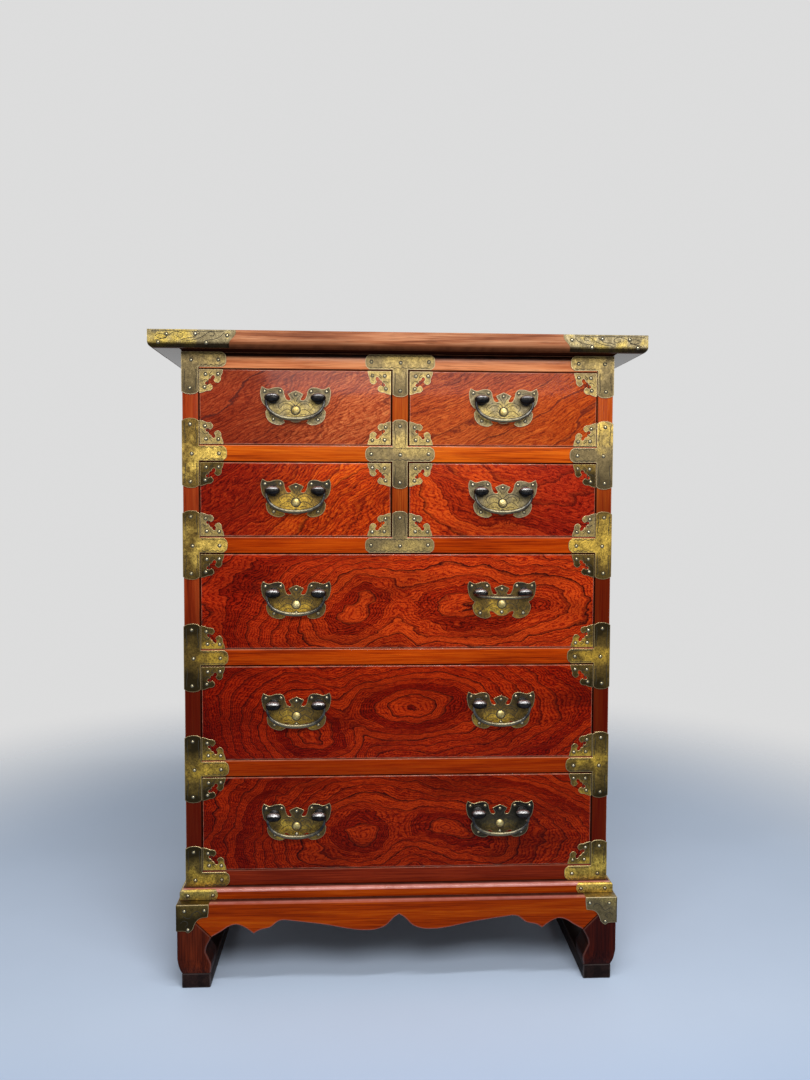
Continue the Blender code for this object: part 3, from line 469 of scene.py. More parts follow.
frontFigures = {
    "top_left_drawer": {
        **topRow, "hearts": [{"centre": (-0.9, 0, 1.9), "size": (0.5, 1.0, 0.5)}], "rings": 11.0,
        "hills": 2.6, "turn": -24.0, "hillSize": (0.3, 0.1, 0.08), "shift": (0.1, 0, 0.2), "coat": 0.2,
        "tones": [(0.13, 0.014, 0.006), (0.38, 0.062, 0.016), (0.64, 0.175, 0.05)],
        "shade": (-0.06, -0.3), "shadeColour": (0.58, 0.33, 0.3),
    },
    "top_right_drawer": {
        **topRow, "hearts": [{"centre": (-0.4, 0, 2.0), "size": (0.5, 1.0, 0.5)}], "rings": 12.0,
        "hills": 2.8, "turn": -28.0, "hillSize": (0.25, 0.1, 0.07), "shift": (0.6, 0, 0.4), "coat": 0.1,
        "tones": [(0.13, 0.014, 0.006), (0.37, 0.054, 0.011), (0.57, 0.125, 0.024)],
        "shade": (0.12, 0.3), "shadeColour": (0.92, 0.72, 0.4),
    },
    "second_left_drawer": {
        **secondRow, "hearts": [{"centre": (-0.6, 0, 1.25), "size": (0.3, 1.0, 0.3)}], "hills": 3.4,
        "turn": -30.0, "hillSize": (0.16, 0.1, 0.08), "shift": (0.3, 0, 0.7), "patch": 0.35,
        "tones": [(0.095, 0.005, 0.002), (0.42, 0.03, 0.003), (0.76, 0.12, 0.007)],
        "shade": (-0.1, -0.27), "shadeColour": (0.56, 0.32, 0.8),
    },
    "second_right_drawer": {
        **secondRow, "hearts": [{"centre": (0.25, 0, 1.05), "size": (0.3, 1.0, 0.3)}], "hills": 3.8,
        "turn": 12.0, "hillSize": (0.2, 0.1, 0.07), "shift": (0.8, 0, 0.5), "patch": 0.3,
        "tones": [(0.085, 0.004, 0.002), (0.36, 0.022, 0.003), (0.64, 0.078, 0.008)],
        "shade": (0.12, 0.27), "shadeColour": (0.7, 0.45, 0.9),
    },
    "third_drawer": {
        "hearts": [
            {"centre": (-0.07, 0, 0.622), "size": (0.09, 1.0, 0.055), "turn": -20.0},
            {"centre": (0.13, 0, 0.63), "size": (0.17, 1.0, 0.06)},
        ],
        "shift": (0.2, 0, 0.3), "patch": 0.5,
        "tones": [(0.045, 0.002, 0.001), (0.3, 0.012, 0.002), (0.59, 0.06, 0.006)],
        "shade": (-0.05, -0.3), "shadeColour": (0.78, 0.52, 0.7),
    },
    "fourth_drawer": {
        "hearts": [
            {"centre": (0.028, 0, 0.463), "size": (0.115, 1.0, 0.05)},
            {"centre": (-0.15, 0, 0.42), "size": (0.075, 1.0, 0.055), "turn": 25.0},
        ],
        "hills": 3.2, "shift": (0.5, 0, 0.9),
        "tones": [(0.045, 0.002, 0.001), (0.205, 0.005, 0.001), (0.44, 0.034, 0.003)],
        "shade": (-0.05, -0.3), "shadeColour": (0.76, 0.55, 0.8),
    },
    "bottom_drawer": {
        "hearts": [
            {"centre": (-0.059, 0, 0.249), "size": (0.09, 1.0, 0.06), "turn": -15.0},
            {"centre": (0.08, 0, 0.25), "size": (0.125, 1.0, 0.045), "turn": 12.0},
        ],
        "shift": (0.9, 0, 0.1),
        "tones": [(0.045, 0.002, 0.001), (0.172, 0.005, 0.001), (0.39, 0.032, 0.003)],
        "shade": (-0.08, -0.3), "shadeColour": (0.88, 0.7, 0.8),
    },
}
for name, figure in frontFigures.items():
    finishes[name] = veneer(name + "_veneer", {**frontLook, **figure})
print("woods mixed:", len(finishes))

# brass: reach is how far from its heart a plate is rubbed bright, dull how aged the heart is
brassLook = {
    "dark": (0.036, 0.025, 0.01), "olive": (0.275, 0.172, 0.04), "gold": (0.9, 0.56, 0.075),
    "rim": (0.56, 0.425, 0.215), "reach": 0.043, "far": 1.0, "cloud": 1.5, "rough": 0.34, "dull": 0.1,
}
paleBrassLook = {
    "dark": (0.075, 0.056, 0.028), "olive": (0.265, 0.196, 0.09), "gold": (0.52, 0.375, 0.125),
    "rim": (0.64, 0.52, 0.31), "reach": 0.07, "far": 0.7, "cloud": 1.7, "rough": 0.38, "dull": 0.1,
}
brassLooks = {
    "plateBrass": brassLook,
    "paleBrass": paleBrassLook,
    "goldBrass": {**brassLook, "gold": (1.0, 0.66, 0.11), "reach": 0.09},
    "brightBrass": {**brassLook, "gold": (1.0, 0.69, 0.15), "reach": 0.072},
    "dullBrass": {**brassLook, "reach": 0.08, "dull": 0.32},
    "patchyBrass": {**paleBrassLook, "gold": (0.78, 0.54, 0.13), "reach": 0.06, "cloud": 1.2},
    "centreBrass": {**paleBrassLook, "reach": 0.062, "far": 1.0, "cloud": 1.2},
    "capBrass": {
        **paleBrassLook, "olive": (0.33, 0.27, 0.15), "gold": (0.7, 0.51, 0.11), "reach": 0.05,
    },
    "pullBrass": {**brassLook, "dark": (0.036, 0.031, 0.022), "olive": (0.31, 0.186, 0.042), "reach": 0.04},
    "darkPullBrass": {
        **brassLook, "dark": (0.02, 0.019, 0.017), "olive": (0.085, 0.066, 0.034),
        "gold": (0.3, 0.205, 0.06), "reach": 0.036,
    },
    "palePullBrass": {
        **paleBrassLook, "olive": (0.27, 0.222, 0.132), "gold": (0.52, 0.39, 0.13), "reach": 0.04,
    },
}
castLooks = {
    "bailBronze": {
        "dark": (0.03, 0.03, 0.032), "light": (0.17, 0.164, 0.148), "rubbed": (0.2, 0.17, 0.1),
        "rough": 0.24, "lumps": 0.3,
    },
    # its rubbed colour is a painted highlight along the top of each knob
    "postBronze": {
        "dark": (0.014, 0.013, 0.013), "light": (0.044, 0.041, 0.04), "rubbed": (0.52, 0.51, 0.505),
        "rough": 0.28, "lumps": 0.8,
    },
    "nailBrass": {"dark": (0.42, 0.35, 0.19), "light": (0.76, 0.69, 0.5), "rough": 0.2, "lumps": 0.0},
    "studBrass": {"dark": (0.42, 0.31, 0.1), "light": (0.9, 0.78, 0.4), "rough": 0.36, "lumps": 0.7},
}
# the grime finish is the dark ring round nail heads and studs, painted shade with dirt; chased fills the
# engraved lines
darkFillLooks = {
    "grime": {"dark": (0.016, 0.012, 0.007), "light": (0.05, 0.04, 0.022)},
    "chased": {"dark": (0.01, 0.008, 0.004), "light": (0.03, 0.024, 0.012)},
}


def agedBrass(name, look):
    # rubbed gold round each plate's heart, olive and dark further out, pale worn rims
    material, shader, coords = startFinish(name, Metallic=1.0)
    away = coords.vector("SUBTRACT", coords.marked("heart", 1)).vector("MULTIPLY", (0.45, 0.45, 1.0)).length()
    cloud = coords.noise(34.0, 3.0, 0.6)
    grain = coords.noise(420.0, 3.0, 0.65, 0.6)
    mottle = coords.noise(150.0, 4.0, 0.7).ramp((0.36, 1.0), (0.62, 0.0))
    age = look["dull"] + away / look["reach"] * look["far"] + (cloud - 0.5) * look["cloud"]
    colour = (age * 0.8).ramp((0.14, look["gold"]), (0.42, look["olive"]), (0.95, look["dark"]))
    speck = grain.ramp((0.38, 1.0), (0.54, 0.0))
    cut = coords.laid(size=(0.003, 0.003, 0.012)).noise(1.0, 2.0, 0.5, 1.2)
    cut = (cut - 0.5).absolute().ramp((0.0, 1.0), (0.035, 0.0))
    for spots, depth in ((mottle, 0.5), (speck, 0.55), (cut, 0.55)):
        colour = (spots * depth).mixed(colour, look["dark"])
    worn = coords.marked("worn") * (0.5 + cloud * 0.6)
    colour = shadedAndDirtied(coords, worn.clamped().mixed(colour, look["rim"]))
    rough = look["rough"] + grain * 0.16 + mottle * 0.08 - worn * 0.1
    feed(shader, Base_Color=colour, Roughness=rough, Normal=(grain - speck * 0.5 - cut).bump(0.2, 0.0004))
    return material


def castMetal(name, look):
    # dark cast fittings and bright nail heads: mottled, lumpy, lighter where rubbed on a bail's grip and with
    # a painted highlight along the top of a post's knob
    material, shader, coords = startFinish(name, Metallic=1.0)
    cloud = coords.noise(120.0, 3.0, 0.6)
    grain = coords.noise(900.0, 2.0, 0.6)
    colour = (cloud.ramp((0.42, 0.0), (0.68, 1.0)) * 0.8).mixed(look["dark"], look["light"])
    if "rubbed" in look:
        # rubbed wear on a bail's grip; on a knob's top a painted highlight
        held = coords.marked("worn") * cloud.ramp((0.25, 0.5), (0.6, 1.0))
        colour = held.mixed(colour, look["rubbed"])
    height = grain * 0.1 + coords.noise(420.0, 3.0, 0.6) * look["lumps"]
    feed(shader, Base_Color=colour, Roughness=look["rough"] + grain * 0.15, Normal=height.bump(1.0, 0.0012))
    return material


# a dull dark fill for those rings and for engraved lines
def darkFill(name, look):
    material, shader, coords = startFinish(name, Metallic=0.2)
    cloud = coords.noise(200.0, 2.0)
    feed(shader, Base_Color=cloud.mixed(look["dark"], look["light"]), Roughness=0.55 + cloud * 0.25)
    return material


for mix, looks in ((agedBrass, brassLooks), (castMetal, castLooks), (darkFill, darkFillLooks)):
    for name, look in looks.items():
        finishes[name] = mix(name, look)
print("metals mixed:", len(brassLooks) + len(castLooks) + len(darkFillLooks))

# edges of boards and cut plates; plateWear is for a plate's wall, rim and lip
edgeLook = {"round": 0.0014, "steps": 3, "reach": 0.003, "lip": 0.0007, "plateWear": (0.4, 1.0, 0.55)}


def newShape():
    bm = bmesh.new()
    bm.faces.layers.float.new("worn")
    bm.faces.layers.float.new("grime")
    bm.faces.layers.float_vector.new("heart")
    return bm


def mark(bm, face, **notes):
    # notes worn, grime or heart on a face for its finish
    for name, value in notes.items():
        layers = bm.faces.layers.float_vector if name == "heart" else bm.faces.layers.float
        face[layers[name]] = value


def finishPiece(name, bm, materials, body, nodes=(), sharp=32.0):
    bmesh.ops.recalc_face_normals(bm, faces=bm.faces)
    mesh = bpy.data.meshes.new(name)
    bm.to_mesh(mesh)
    bm.free()
    for material in materials:
        mesh.materials.append(finishes[material])
    mesh.shade_smooth()
    mesh.set_sharp_from_angle(angle=math.radians(sharp))
    piece = bpy.data.objects.new(name, mesh)
    room.collection.objects.link(piece)
    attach(piece, body)
    if nodes:
        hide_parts(*nodes)


def between(value, start, end):
    # 0 up to the start, 1 from the end on
    return min(1.0, max(0.0, (value - start) / (end - start)))


def loft(bm, rings, worn=None, index=0, heart=None):
    # skins rings of equal count and closes both ends; worn marks the bands between rings
    loops = [[bm.verts.new(point) for point in ring] for ring in rings]
    count = len(loops[0])
    made = []
    for band, (first, second) in enumerate(zip(loops, loops[1:])):
        for k in range(count):
            after = (k + 1) % count
            made.append(bm.faces.new((first[k], first[after], second[after], second[k])))
            if worn:
                mark(bm, made[-1], worn=worn[band])
    made.append(bm.faces.new(loops[0]))
    made.append(bm.faces.new(loops[-1]))
    for face in made:
        face.material_index = index
        if heart:
            mark(bm, face, heart=heart)
    return made


def rounded(radius, steps, level, way):
    # inset and place of a rounded edge, from the side of a board to its face at level
    found = []
    for step in range(steps + 1):
        angle = math.pi / 2 * step / steps
        found.append((radius * (1 - math.cos(angle)), level + way * radius * (1 - math.sin(angle))))
    return found


def board(bm, low, high):
    # a board with the edges of its front rounded and worn
    steps = edgeLook["steps"]
    rings = []
    for inset, y in [(0.0, high[1])] + rounded(edgeLook["round"], steps, low[1], 1):
        left, right = low[0] + inset, high[0] - inset
        foot, head = low[2] + inset, high[2] - inset
        corners = ((left, foot), (right, foot), (right, head), (left, head))
        rings.append([Vector((x, y, z)) for x, z in corners])
    return loft(bm, rings, [0.0] + [1.0] * steps)


def soilAndShade(bm, faces, darkened):
    # turns the rounded edges that the test picks from worn to dark: painted shade in the gaps, with dirt
    wornLayer = bm.faces.layers.float["worn"]
    for face in faces:
        face.normal_update()
        if face[wornLayer] > 0.5 and darkened(face):
            mark(bm, face, worn=0.0, grime=1.0)


def bar(bm, low, high, radius, index=0):
    # a batten with all its edges eased
    low, high = Vector(low), Vector(high)
    matrix = Matrix.Translation((low + high) / 2) @ Matrix.Diagonal((*(high - low), 1.0))
    verts = bmesh.ops.create_cube(bm, size=1.0, matrix=matrix)["verts"]
    edges = list({edge for vert in verts for edge in vert.link_edges})
    eased = bmesh.ops.bevel(bm, geom=edges, offset=radius, segments=2, profile=0.5, affect="EDGES")
    faces = list({face for vert in eased["verts"] for face in vert.link_faces})
    for face in faces:
        face.material_index = index
    for face in eased["faces"]:
        mark(bm, face, worn=1.0)
    return faces


def flow(knots, steps=6, closed=True):
    # points along a smooth line through knots of across and up; a third value makes a sharp corner
    count = len(knots)
    spots = [Vector(knot[:2]) for knot in knots]

    def heading(k):
        if not closed and k in (0, count - 1):
            return None
        ahead = spots[(k + 1) % count] - spots[k]
        behind = spots[k] - spots[k - 1]
        return (ahead.normalized() + behind.normalized()).normalized()

    points = []
    for k in range(count if closed else count - 1):
        after = (k + 1) % count
        start, end = spots[k], spots[after]
        span = end - start
        sharp = [len(knots[i]) > 2 or heading(i) is None for i in (k, after)]
        if all(sharp):
            points.append(start)
            continue
        leave = span if sharp[0] else heading(k) * span.length
        arrive = span if sharp[1] else heading(after) * span.length
        for step in range(steps):
            t = step / steps
            points.append(
                start * (2 * t**3 - 3 * t**2 + 1)
                + leave * (t**3 - 2 * t**2 + t)
                + end * (3 * t**2 - 2 * t**3)
                + arrive * (t**3 - t**2)
            )
    if not closed:
        points.append(spots[-1])
    return points


def flipped(knots, across=1, up=1):
    # knots mirrored or stretched
    return [(across * knot[0], up * knot[1], *knot[2:]) for knot in knots]


def mirrored(knots):
    # half an outline, from its top middle to its bottom middle, and its mirror image
    return list(knots) + flipped([knot for knot in reversed(knots) if abs(knot[0]) > 1e-6], -1)


def shrunk(points, amount):
    # an outline drawn in by a small amount
    turn = sum(a.x * b.y - b.x * a.y for a, b in zip(points, points[1:] + points[:1]))
    side = 1.0 if turn > 0 else -1.0
    sharpest = 0.6  # keeps sharp corners from running far in
    inner = []
    for k, point in enumerate(points):
        behind = (point - points[k - 1]).normalized()
        ahead = (points[(k + 1) % len(points)] - point).normalized()
        normals = [Vector((-way.y, way.x)) * side for way in (behind, ahead)]
        push = normals[0] + normals[1]
        inner.append(point + push * (amount / max(sharpest, 1.0 + normals[0].dot(normals[1]))))
    return inner


# across and outward for each upright side of the chest
sideWays = {
    "front": ((1, 0, 0), (0, -1, 0)), "back": ((1, 0, 0), (0, 1, 0)),
    "left": ((0, 1, 0), (-1, 0, 0)), "right": ((0, 1, 0), (1, 0, 0)),
}


def facing(origin, way):
    # lays across, up and out on one side of the chest
    across, outward = (Vector(axis) for axis in sideWays[way])

    def lay(point, out):
        return Vector(origin) + across * point[0] + Vector((0.0, 0.0, point[1])) + outward * out

    return lay


def sheet(bm, points, lay, thick, rim, heart=None, index=0, clamp=None):
    # a cut plate: back, wall, rounded rim and a flat face
    lip = rim + min(rim * 1.6, edgeLook["lip"])
    rings = []
    for inset, out in ((0.0, 0.0), (0.0, thick - rim), (rim, thick), (lip, thick)):
        ring = shrunk(points, inset) if inset else points
        if clamp:
            ring = [clamp(point, thick - out) for point in ring]
        rings.append([lay(point, out) for point in ring])
    return loft(bm, rings, edgeLook["plateWear"], index, heart)


def oval(centre, first, second, sides):
    # a ring of points round a centre, from its two half axes
    turns = [2 * math.pi * k / sides for k in range(sides)]
    return [centre + first * math.cos(turn) + second * math.sin(turn) for turn in turns]


# nails and chased lines; names with capitals are inputs of the node trees
nailLook = {
    "Head Radius": 0.0023, "Head Height": 0.0016, "Ring Radius": 0.0033, "Head": finishes["nailBrass"],
    "Ring": finishes["grime"], "segments": 10, "rings": 6, "ringSides": 12, "ringHigh": 0.0005,
}
chaseLook = {"Width": 0.00085, "Height": 0.00085, "Line": finishes["chased"], "sunk": 0.0003}
nailSpots = {}  # body: list of place and way
chasedLines = {}  # body: list of lines


def startTree(name, inputs):
    # a geometry tree and the wires of its inputs
    tree = bpy.data.node_groups.new(name, "GeometryNodeTree")
    for label, kind in inputs.items():
        tree.interface.new_socket(label, in_out="INPUT", socket_type="NodeSocket" + kind)
    given = tree.nodes.new("NodeGroupInput").outputs
    return tree, {label: Wire(tree, given[label]) for label in inputs}


def endTree(tree, result):
    tree.interface.new_socket("Geometry", in_out="OUTPUT", socket_type="NodeSocketGeometry")
    tree.links.new(result.socket, tree.nodes.new("NodeGroupOutput").inputs["Geometry"])
    return tree


def painted(shape, material):
    solid = shape.node("GeometryNodeRealizeInstances", None, {"Geometry": shape})
    return solid.node("GeometryNodeSetMaterial", None, {"Geometry": solid, "Material": material})


def nailTree():
    # a domed head on a dark ring at every point, turned the way that the point faces; the ring is painted
    # shade with dirt
    inputs = {"Geometry": "Geometry", "Head": "Material", "Ring": "Material"}
    inputs.update({label: "Float" for label in ("Head Radius", "Head Height", "Ring Radius")})
    tree, given = startTree("nailing", inputs)
    points, wide, high = given["Geometry"], given["Head Radius"], given["Head Height"]
    way = points.node("GeometryNodeInputNamedAttribute", {"data_type": "FLOAT_VECTOR"}, {"Name": "facing"})
    turn = way.node("FunctionNodeAlignRotationToVector", {"axis": "Z"}, {"Vector": way})
    ball = {"Segments": nailLook["segments"], "Rings": nailLook["rings"], "Radius": 1.0}
    dome = points.node("GeometryNodeMeshUVSphere", None, ball)
    size = wide.node("ShaderNodeCombineXYZ", None, {"X": wide, "Y": wide, "Z": high})
    dome = dome.node("GeometryNodeTransform", None, {"Geometry": dome, "Scale": size})
    dome = dome.node("GeometryNodeSetShadeSmooth", None, {"Geometry": dome})
    ring = {"Vertices": nailLook["ringSides"], "Radius": given["Ring Radius"], "Depth": nailLook["ringHigh"]}
    disc = points.node("GeometryNodeMeshCylinder", None, ring)
    spread = []
    for shape, material in ((dome, "Head"), (disc, "Ring")):
        links = {"Points": points, "Instance": shape, "Rotation": turn}
        spread.append(painted(points.node("GeometryNodeInstanceOnPoints", None, links), given[material]))
    joined = points.node("GeometryNodeJoinGeometry", None, {0: spread[0]})
    tree.links.new(spread[1].socket, joined.socket.node.inputs[0])
    return endTree(tree, joined)


def chasingTree():
    # a fine chased line along every edge
    inputs = {"Geometry": "Geometry", "Width": "Float", "Height": "Float", "Line": "Material"}
    tree, given = startTree("chasing", inputs)
    path = given["Geometry"].node("GeometryNodeMeshToCurve", None, {"Mesh": given["Geometry"]})
    size = {"Width": given["Width"], "Height": given["Height"]}
    section = path.node("GeometryNodeCurvePrimitiveQuadrilateral", None, size)
    links = {"Curve": path, "Profile Curve": section, "Fill Caps": True}
    return endTree(tree, painted(path.node("GeometryNodeCurveToMesh", None, links), given["Line"]))


def nail(body, lay, spots, out):
    for spot in spots:
        place = lay(spot, out)
        nailSpots.setdefault(body, []).append((place, lay(spot, out + 1.0) - place))


def chase(body, lay, knots, out, steps=5):
    # the line is sunk, so that little of it stands proud
    line = [lay(point, out - chaseLook["sunk"]) for point in flow(knots, steps, False)]
    chasedLines.setdefault(body, []).append(line)


def scallops(start, end, count, deep):
    # knots of a wavy border line
    start, end = Vector(start), Vector(end)
    side = Vector((-(end - start).y, (end - start).x)).normalized() * deep
    return [tuple(start.lerp(end, k / (2 * count)) + side * (k % 2)) for k in range(2 * count + 1)]


# top board: rounded under its front and side edges
topLook = {
    "sideOver": 0.0466, "frontOver": 0.0306, "backOver": 0.01, "thick": 0.029,
    "under": 0.009, "underSteps": 6, "underEdge": 0.0005, "upper": 0.0015, "upperSteps": 3,
}
# its brass caps; spots and lines are across from the outer corner and up from the underside
capLook = {
    "length": 0.138, "wrap": 0.11, "skin": 0.0012, "lift": 0.0004, "topGap": 0.0004,
    "ogee": 0.011, "ogeeSpan": (0.86, 0.24), "levels": (0.4, 0.48, 0.56, 0.66, 0.76, 0.86),
    "shadeAndDirt": (1.2, 0.7),  # painted shade under the board's edge, from the rounded edge down
    "rubbed": {"left": (0.02, 0.018), "right": (0.07, -0.008)},
    "nails": ((0.0299, 0.0212), (0.0746, 0.0222), (0.1243, 0.0198), (0.0166, 0.0085), (0.0916, 0.0085)),
    "sideNails": ((0.025, 0.021), (0.06, 0.0215), (0.098, 0.0205)), "sideSunk": 0.001,
    "scrolls": [
        [(0.006, 0.0255), (0.03, 0.0262), (0.07, 0.0258), (0.12, 0.0262)],
        [
            (0.01, 0.011), (0.026, 0.015), (0.04, 0.0235), (0.052, 0.024), (0.056, 0.019),
            (0.05, 0.016), (0.045, 0.019),
        ],
        [(0.052, 0.012), (0.06, 0.015), (0.072, 0.017), (0.082, 0.024)],
        [
            (0.06, 0.011), (0.074, 0.013), (0.088, 0.019), (0.096, 0.0245), (0.104, 0.0235),
            (0.103, 0.019), (0.097, 0.0195),
        ],
        [(0.092, 0.012), (0.104, 0.014), (0.114, 0.018), (0.119, 0.0235)],
        [(0.012, 0.018), (0.02, 0.0215), (0.03, 0.017), (0.022, 0.014), (0.014, 0.0165)],
    ],
    "sideScroll": 0.8,  # the scroll is shorter on the side
}


def slabRings(half, front, back, profile):
    rings = []
    for inset, z in profile:
        side, face = half - inset, front + inset
        corners = ((-side, face), (side, face), (side, back), (-side, back))
        rings.append([Vector((x, y, z)) for x, y in corners])
    return rings


def wornBands(profile, flat=0.004):
    # marks the short bands of a profile, which are its rounded edges
    steps = [(abs(b[0] - a[0]), abs(b[1] - a[1])) for a, b in zip(profile, profile[1:])]
    return [1.0 if max(step) < flat else 0.0 for step in steps]


def cornerWrap(bm, sign, half, front, profile, inner, look, heart, index=0):
    # brass folded round a front corner and over the rounded edges of the board under it
    tab = 0.012  # flat ends
    end = front + look["wrap"]
    shells = []
    for off in (look["lift"], look["lift"] - look["skin"]):
        rows = []
        for inset, z in profile:
            edge, face, start = half + off - inset, front - off + inset, inner(z)
            path = ((start, face), (start + tab, face), (edge, face), (edge, end - tab), (edge, end))
            rows.append([bm.verts.new((sign * x, y, z)) for x, y in path])
        shells.append(rows)
    outer, hidden = shells
    lastRow, lastColumn = len(outer) - 1, len(outer[0]) - 1
    made = []
    for rows in shells:
        for r in range(lastRow):
            for c in range(lastColumn):
                made.append(((rows[r][c], rows[r][c + 1], rows[r + 1][c + 1], rows[r + 1][c]), 0.0))
    for r in range(lastRow):
        for c in (0, lastColumn):
            made.append(((outer[r][c], outer[r + 1][c], hidden[r + 1][c], hidden[r][c]), 1.0))
    for c in range(lastColumn):
        for r in (0, lastRow):
            made.append(((outer[r][c], outer[r][c + 1], hidden[r][c + 1], hidden[r][c]), 1.0))
    for corners, worn in made:
        face = bm.faces.new(corners)
        face.material_index = index
        mark(bm, face, worn=worn, heart=heart)


def makeTop():
    low, tall = caseHead, topLook["thick"]
    high = low + tall
    half = halfCase + topLook["sideOver"]
    front = frontY - topLook["frontOver"]
    under = rounded(topLook["under"], topLook["underSteps"], low, 1)[::-1]
    profile = under + rounded(topLook["upper"], topLook["upperSteps"], high, -1)
    bm = newShape()
    rings = slabRings(half, front, backY + topLook["backOver"], profile)
    for face in loft(bm, rings, wornBands(profile)):
        # the underside takes the near-black wood of painted shade
        face.material_index = int(face.calc_center_median().z < low + topLook["underEdge"])
    finishPiece("top_board_wood", bm, ["topWood", "underTopShadedWood"], "case", ["top_board"])
    capProfile = under[2:] + [(0.0, low + tall * share) for share in capLook["levels"]]
    capProfile.append((0.0, high - capLook["topGap"]))

    def innerEnd(z):
        share = between((z - low) / tall, *capLook["ogeeSpan"])
        return half - capLook["length"] + capLook["ogee"] * (0.5 - 0.5 * math.cos(math.pi * share))

    bm = newShape()
    lift = capLook["lift"]
    for side, sign in (("left", -1), ("right", 1)):
        inside, up = capLook["rubbed"][side]
        heart = Vector((sign * (half - inside), front, low + up))
        cornerWrap(bm, sign, half, front, capProfile, innerEnd, capLook, heart)
        onFront = facing((sign * half, front, low), "front")
        onSide = facing((sign * half, front, low), side)
        nail("case", onFront, flipped(capLook["nails"], -sign), lift)
        nail("case", onSide, capLook["sideNails"], lift - capLook["sideSunk"])
        for line in capLook["scrolls"]:
            chase("case", onFront, flipped(line, -sign), lift)
            chase("case", onSide, flipped(line, capLook["sideScroll"]), lift)
    # the lower part of each cap is darkened: painted shade under the board's edge
    for face in bm.faces:
        rise = (face.calc_center_median().z - low) / topLook["under"]
        mark(bm, face, grime=between(rise, *capLook["shadeAndDirt"]))
    finishPiece("top_board_caps", bm, ["capBrass"], "case")


makeTop()
print("top board done")

# T and L shaped brass on stiles and rails; spots are across from the outer edge of the stile, or
# from the middle, and up from the middle of the arm
mountLook = {
    "stem": 0.0565, "reach": 0.0715, "arm": 0.0121, "arch": 0.0045,
    "rim": 0.00035, "thick": 0.0012, "wave": 0.0016,
    "armEnd": ((0.55, 1.0, True), (0.12, 0.62), (0.0, 0.0)),  # back from its end and up, as shares of arm
}
# head is across and down from the top of a stem, as shares of its width and arch
stileMount = {
    "head": ((0.82, 0.28), (0.5, 0.0), (0.18, 0.28)),
    "wrap": 0.024, "wrapLap": 0.0004, "wrapHeart": 0.008, "nails": [(0.015, -0.0012), (0.0585, -0.0008)],
    "stemNail": (0.0125, 0.0463), "sideNail": (0.0125, 0.0445),
    "border": (0.03, 0.064, 0.0086, 4), "stemLines": (0.004, 0.0222),
    "stemRun": [(0.016, 0.0), (0.025425, 0.0008), (0.03955, -0.0006), (0.0485, 0.0)],
}
centreMount = {
    "half": 0.057, "stemHalf": 0.0125, "heart": 0.02, "head": ((0.66, 0.3), (0.0, 0.0)),
    "rubbed": {"top": 0.006, "upper": 0.016, "lower": -0.008},
    "nails": [(-0.0473, 0.0), (0.0005, -0.001), (0.0467, 0.0005)],
    "stemNail": {1: (0.0, 0.0455), -1: (0.0, -0.0465)},
    "border": (-0.05, 0.05, 0.0087, 11), "stemLines": (-0.0085, 0.0085),
    "stemRun": [(0.016, 0.0), (0.03, 0.0007), (0.042, -0.0006), (0.05, 0.0)],
}
goldSpots = {  # rubbed places from the foot up: across, up and the finish
    "left": (
        (0.036, -0.002, "plateBrass"), (0.034, -0.002, "plateBrass"), (0.062, -0.002, "plateBrass"),
        (0.052, 0.002, "brightBrass"), (0.046, -0.004, "brightBrass"), (0.09, 0.03, "paleBrass"),
    ),
    "right": (
        (0.052, -0.004, "goldBrass"), (0.034, 0.01, "dullBrass"), (0.028, -0.005, "plateBrass"),
        (0.04, 0.01, "goldBrass"), (0.012, 0.044, "patchyBrass"), (0.06, 0.02, "paleBrass"),
    ),
}
mountBrass = ["plateBrass", "paleBrass", "goldBrass", "brightBrass", "dullBrass", "patchyBrass"]
# dust board and drawer guides behind a rail
railLook = {
    "board": 0.008, "boardFrom": 0.006, "boardDown": 0.0001, "tongue": 0.0047, "boardEase": 0.0006,
    "guide": 0.02, "guideSunk": 0.001, "guideEase": 0.0008, "centreGuide": 0.014, "centreFrom": 0.0295,
}
railNodes = ("bottom_rail", "fourth_row_rail", "third_row_rail", "second_row_rail", "top_row_rail")
railWoods = ("bottomRailWood", "railWood", "railWood", "railWood", "brightRailWood")
rowFronts = ("bottom_drawer", "fourth_drawer", "third_drawer", "second_left_drawer", "top_left_drawer")
drawerGap = 0.0012
rowLows = [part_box(name + "_front")[0].z - drawerGap for name in rowFronts]
rowHighs = [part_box(name + "_front")[1].z + drawerGap for name in rowFronts]
railHeight = rowLows[1] - rowHighs[0]


def stemKnots(wide, head):
    arm, tall, arch = (mountLook[key] for key in ("arm", "stem", "arch"))
    knots = [(wide, arm, True), (wide, tall - arch, True)]
    return knots + [(wide * share, tall - arch * drop) for share, drop in head]


def mountKnots(ways, stem, reach):
    # an arm with rounded end, and a stem up (1), down (-1) or both
    arm, edge = mountLook["arm"], stem[-1][0]
    knots = stem[::-1] if 1 in ways else [(edge, arm, True)]
    end = [(reach - arm * back, arm * up, *sharp) for back, up, *sharp in mountLook["armEnd"]]
    knots = knots + end + flipped(end[1::-1], 1, -1)
    return knots + (flipped(stem, 1, -1) if -1 in ways else [(edge, -arm, True)])


def chaseMount(lay, look, ways, flip=1):
    # wavy borders along the arm and two lines along each stem
    start, end, level, count = look["border"]
    for way in (1, -1):
        wave = scallops((start, way * level), (end, way * level), count, way * mountLook["wave"])
        chase("case", lay, flipped(wave, flip), mountLook["thick"])
    for way in ways:
        for u in look["stemLines"]:
            line = [(u + drift, way * v) for v, drift in look["stemRun"]]
            chase("case", lay, flipped(line, flip), mountLook["thick"])


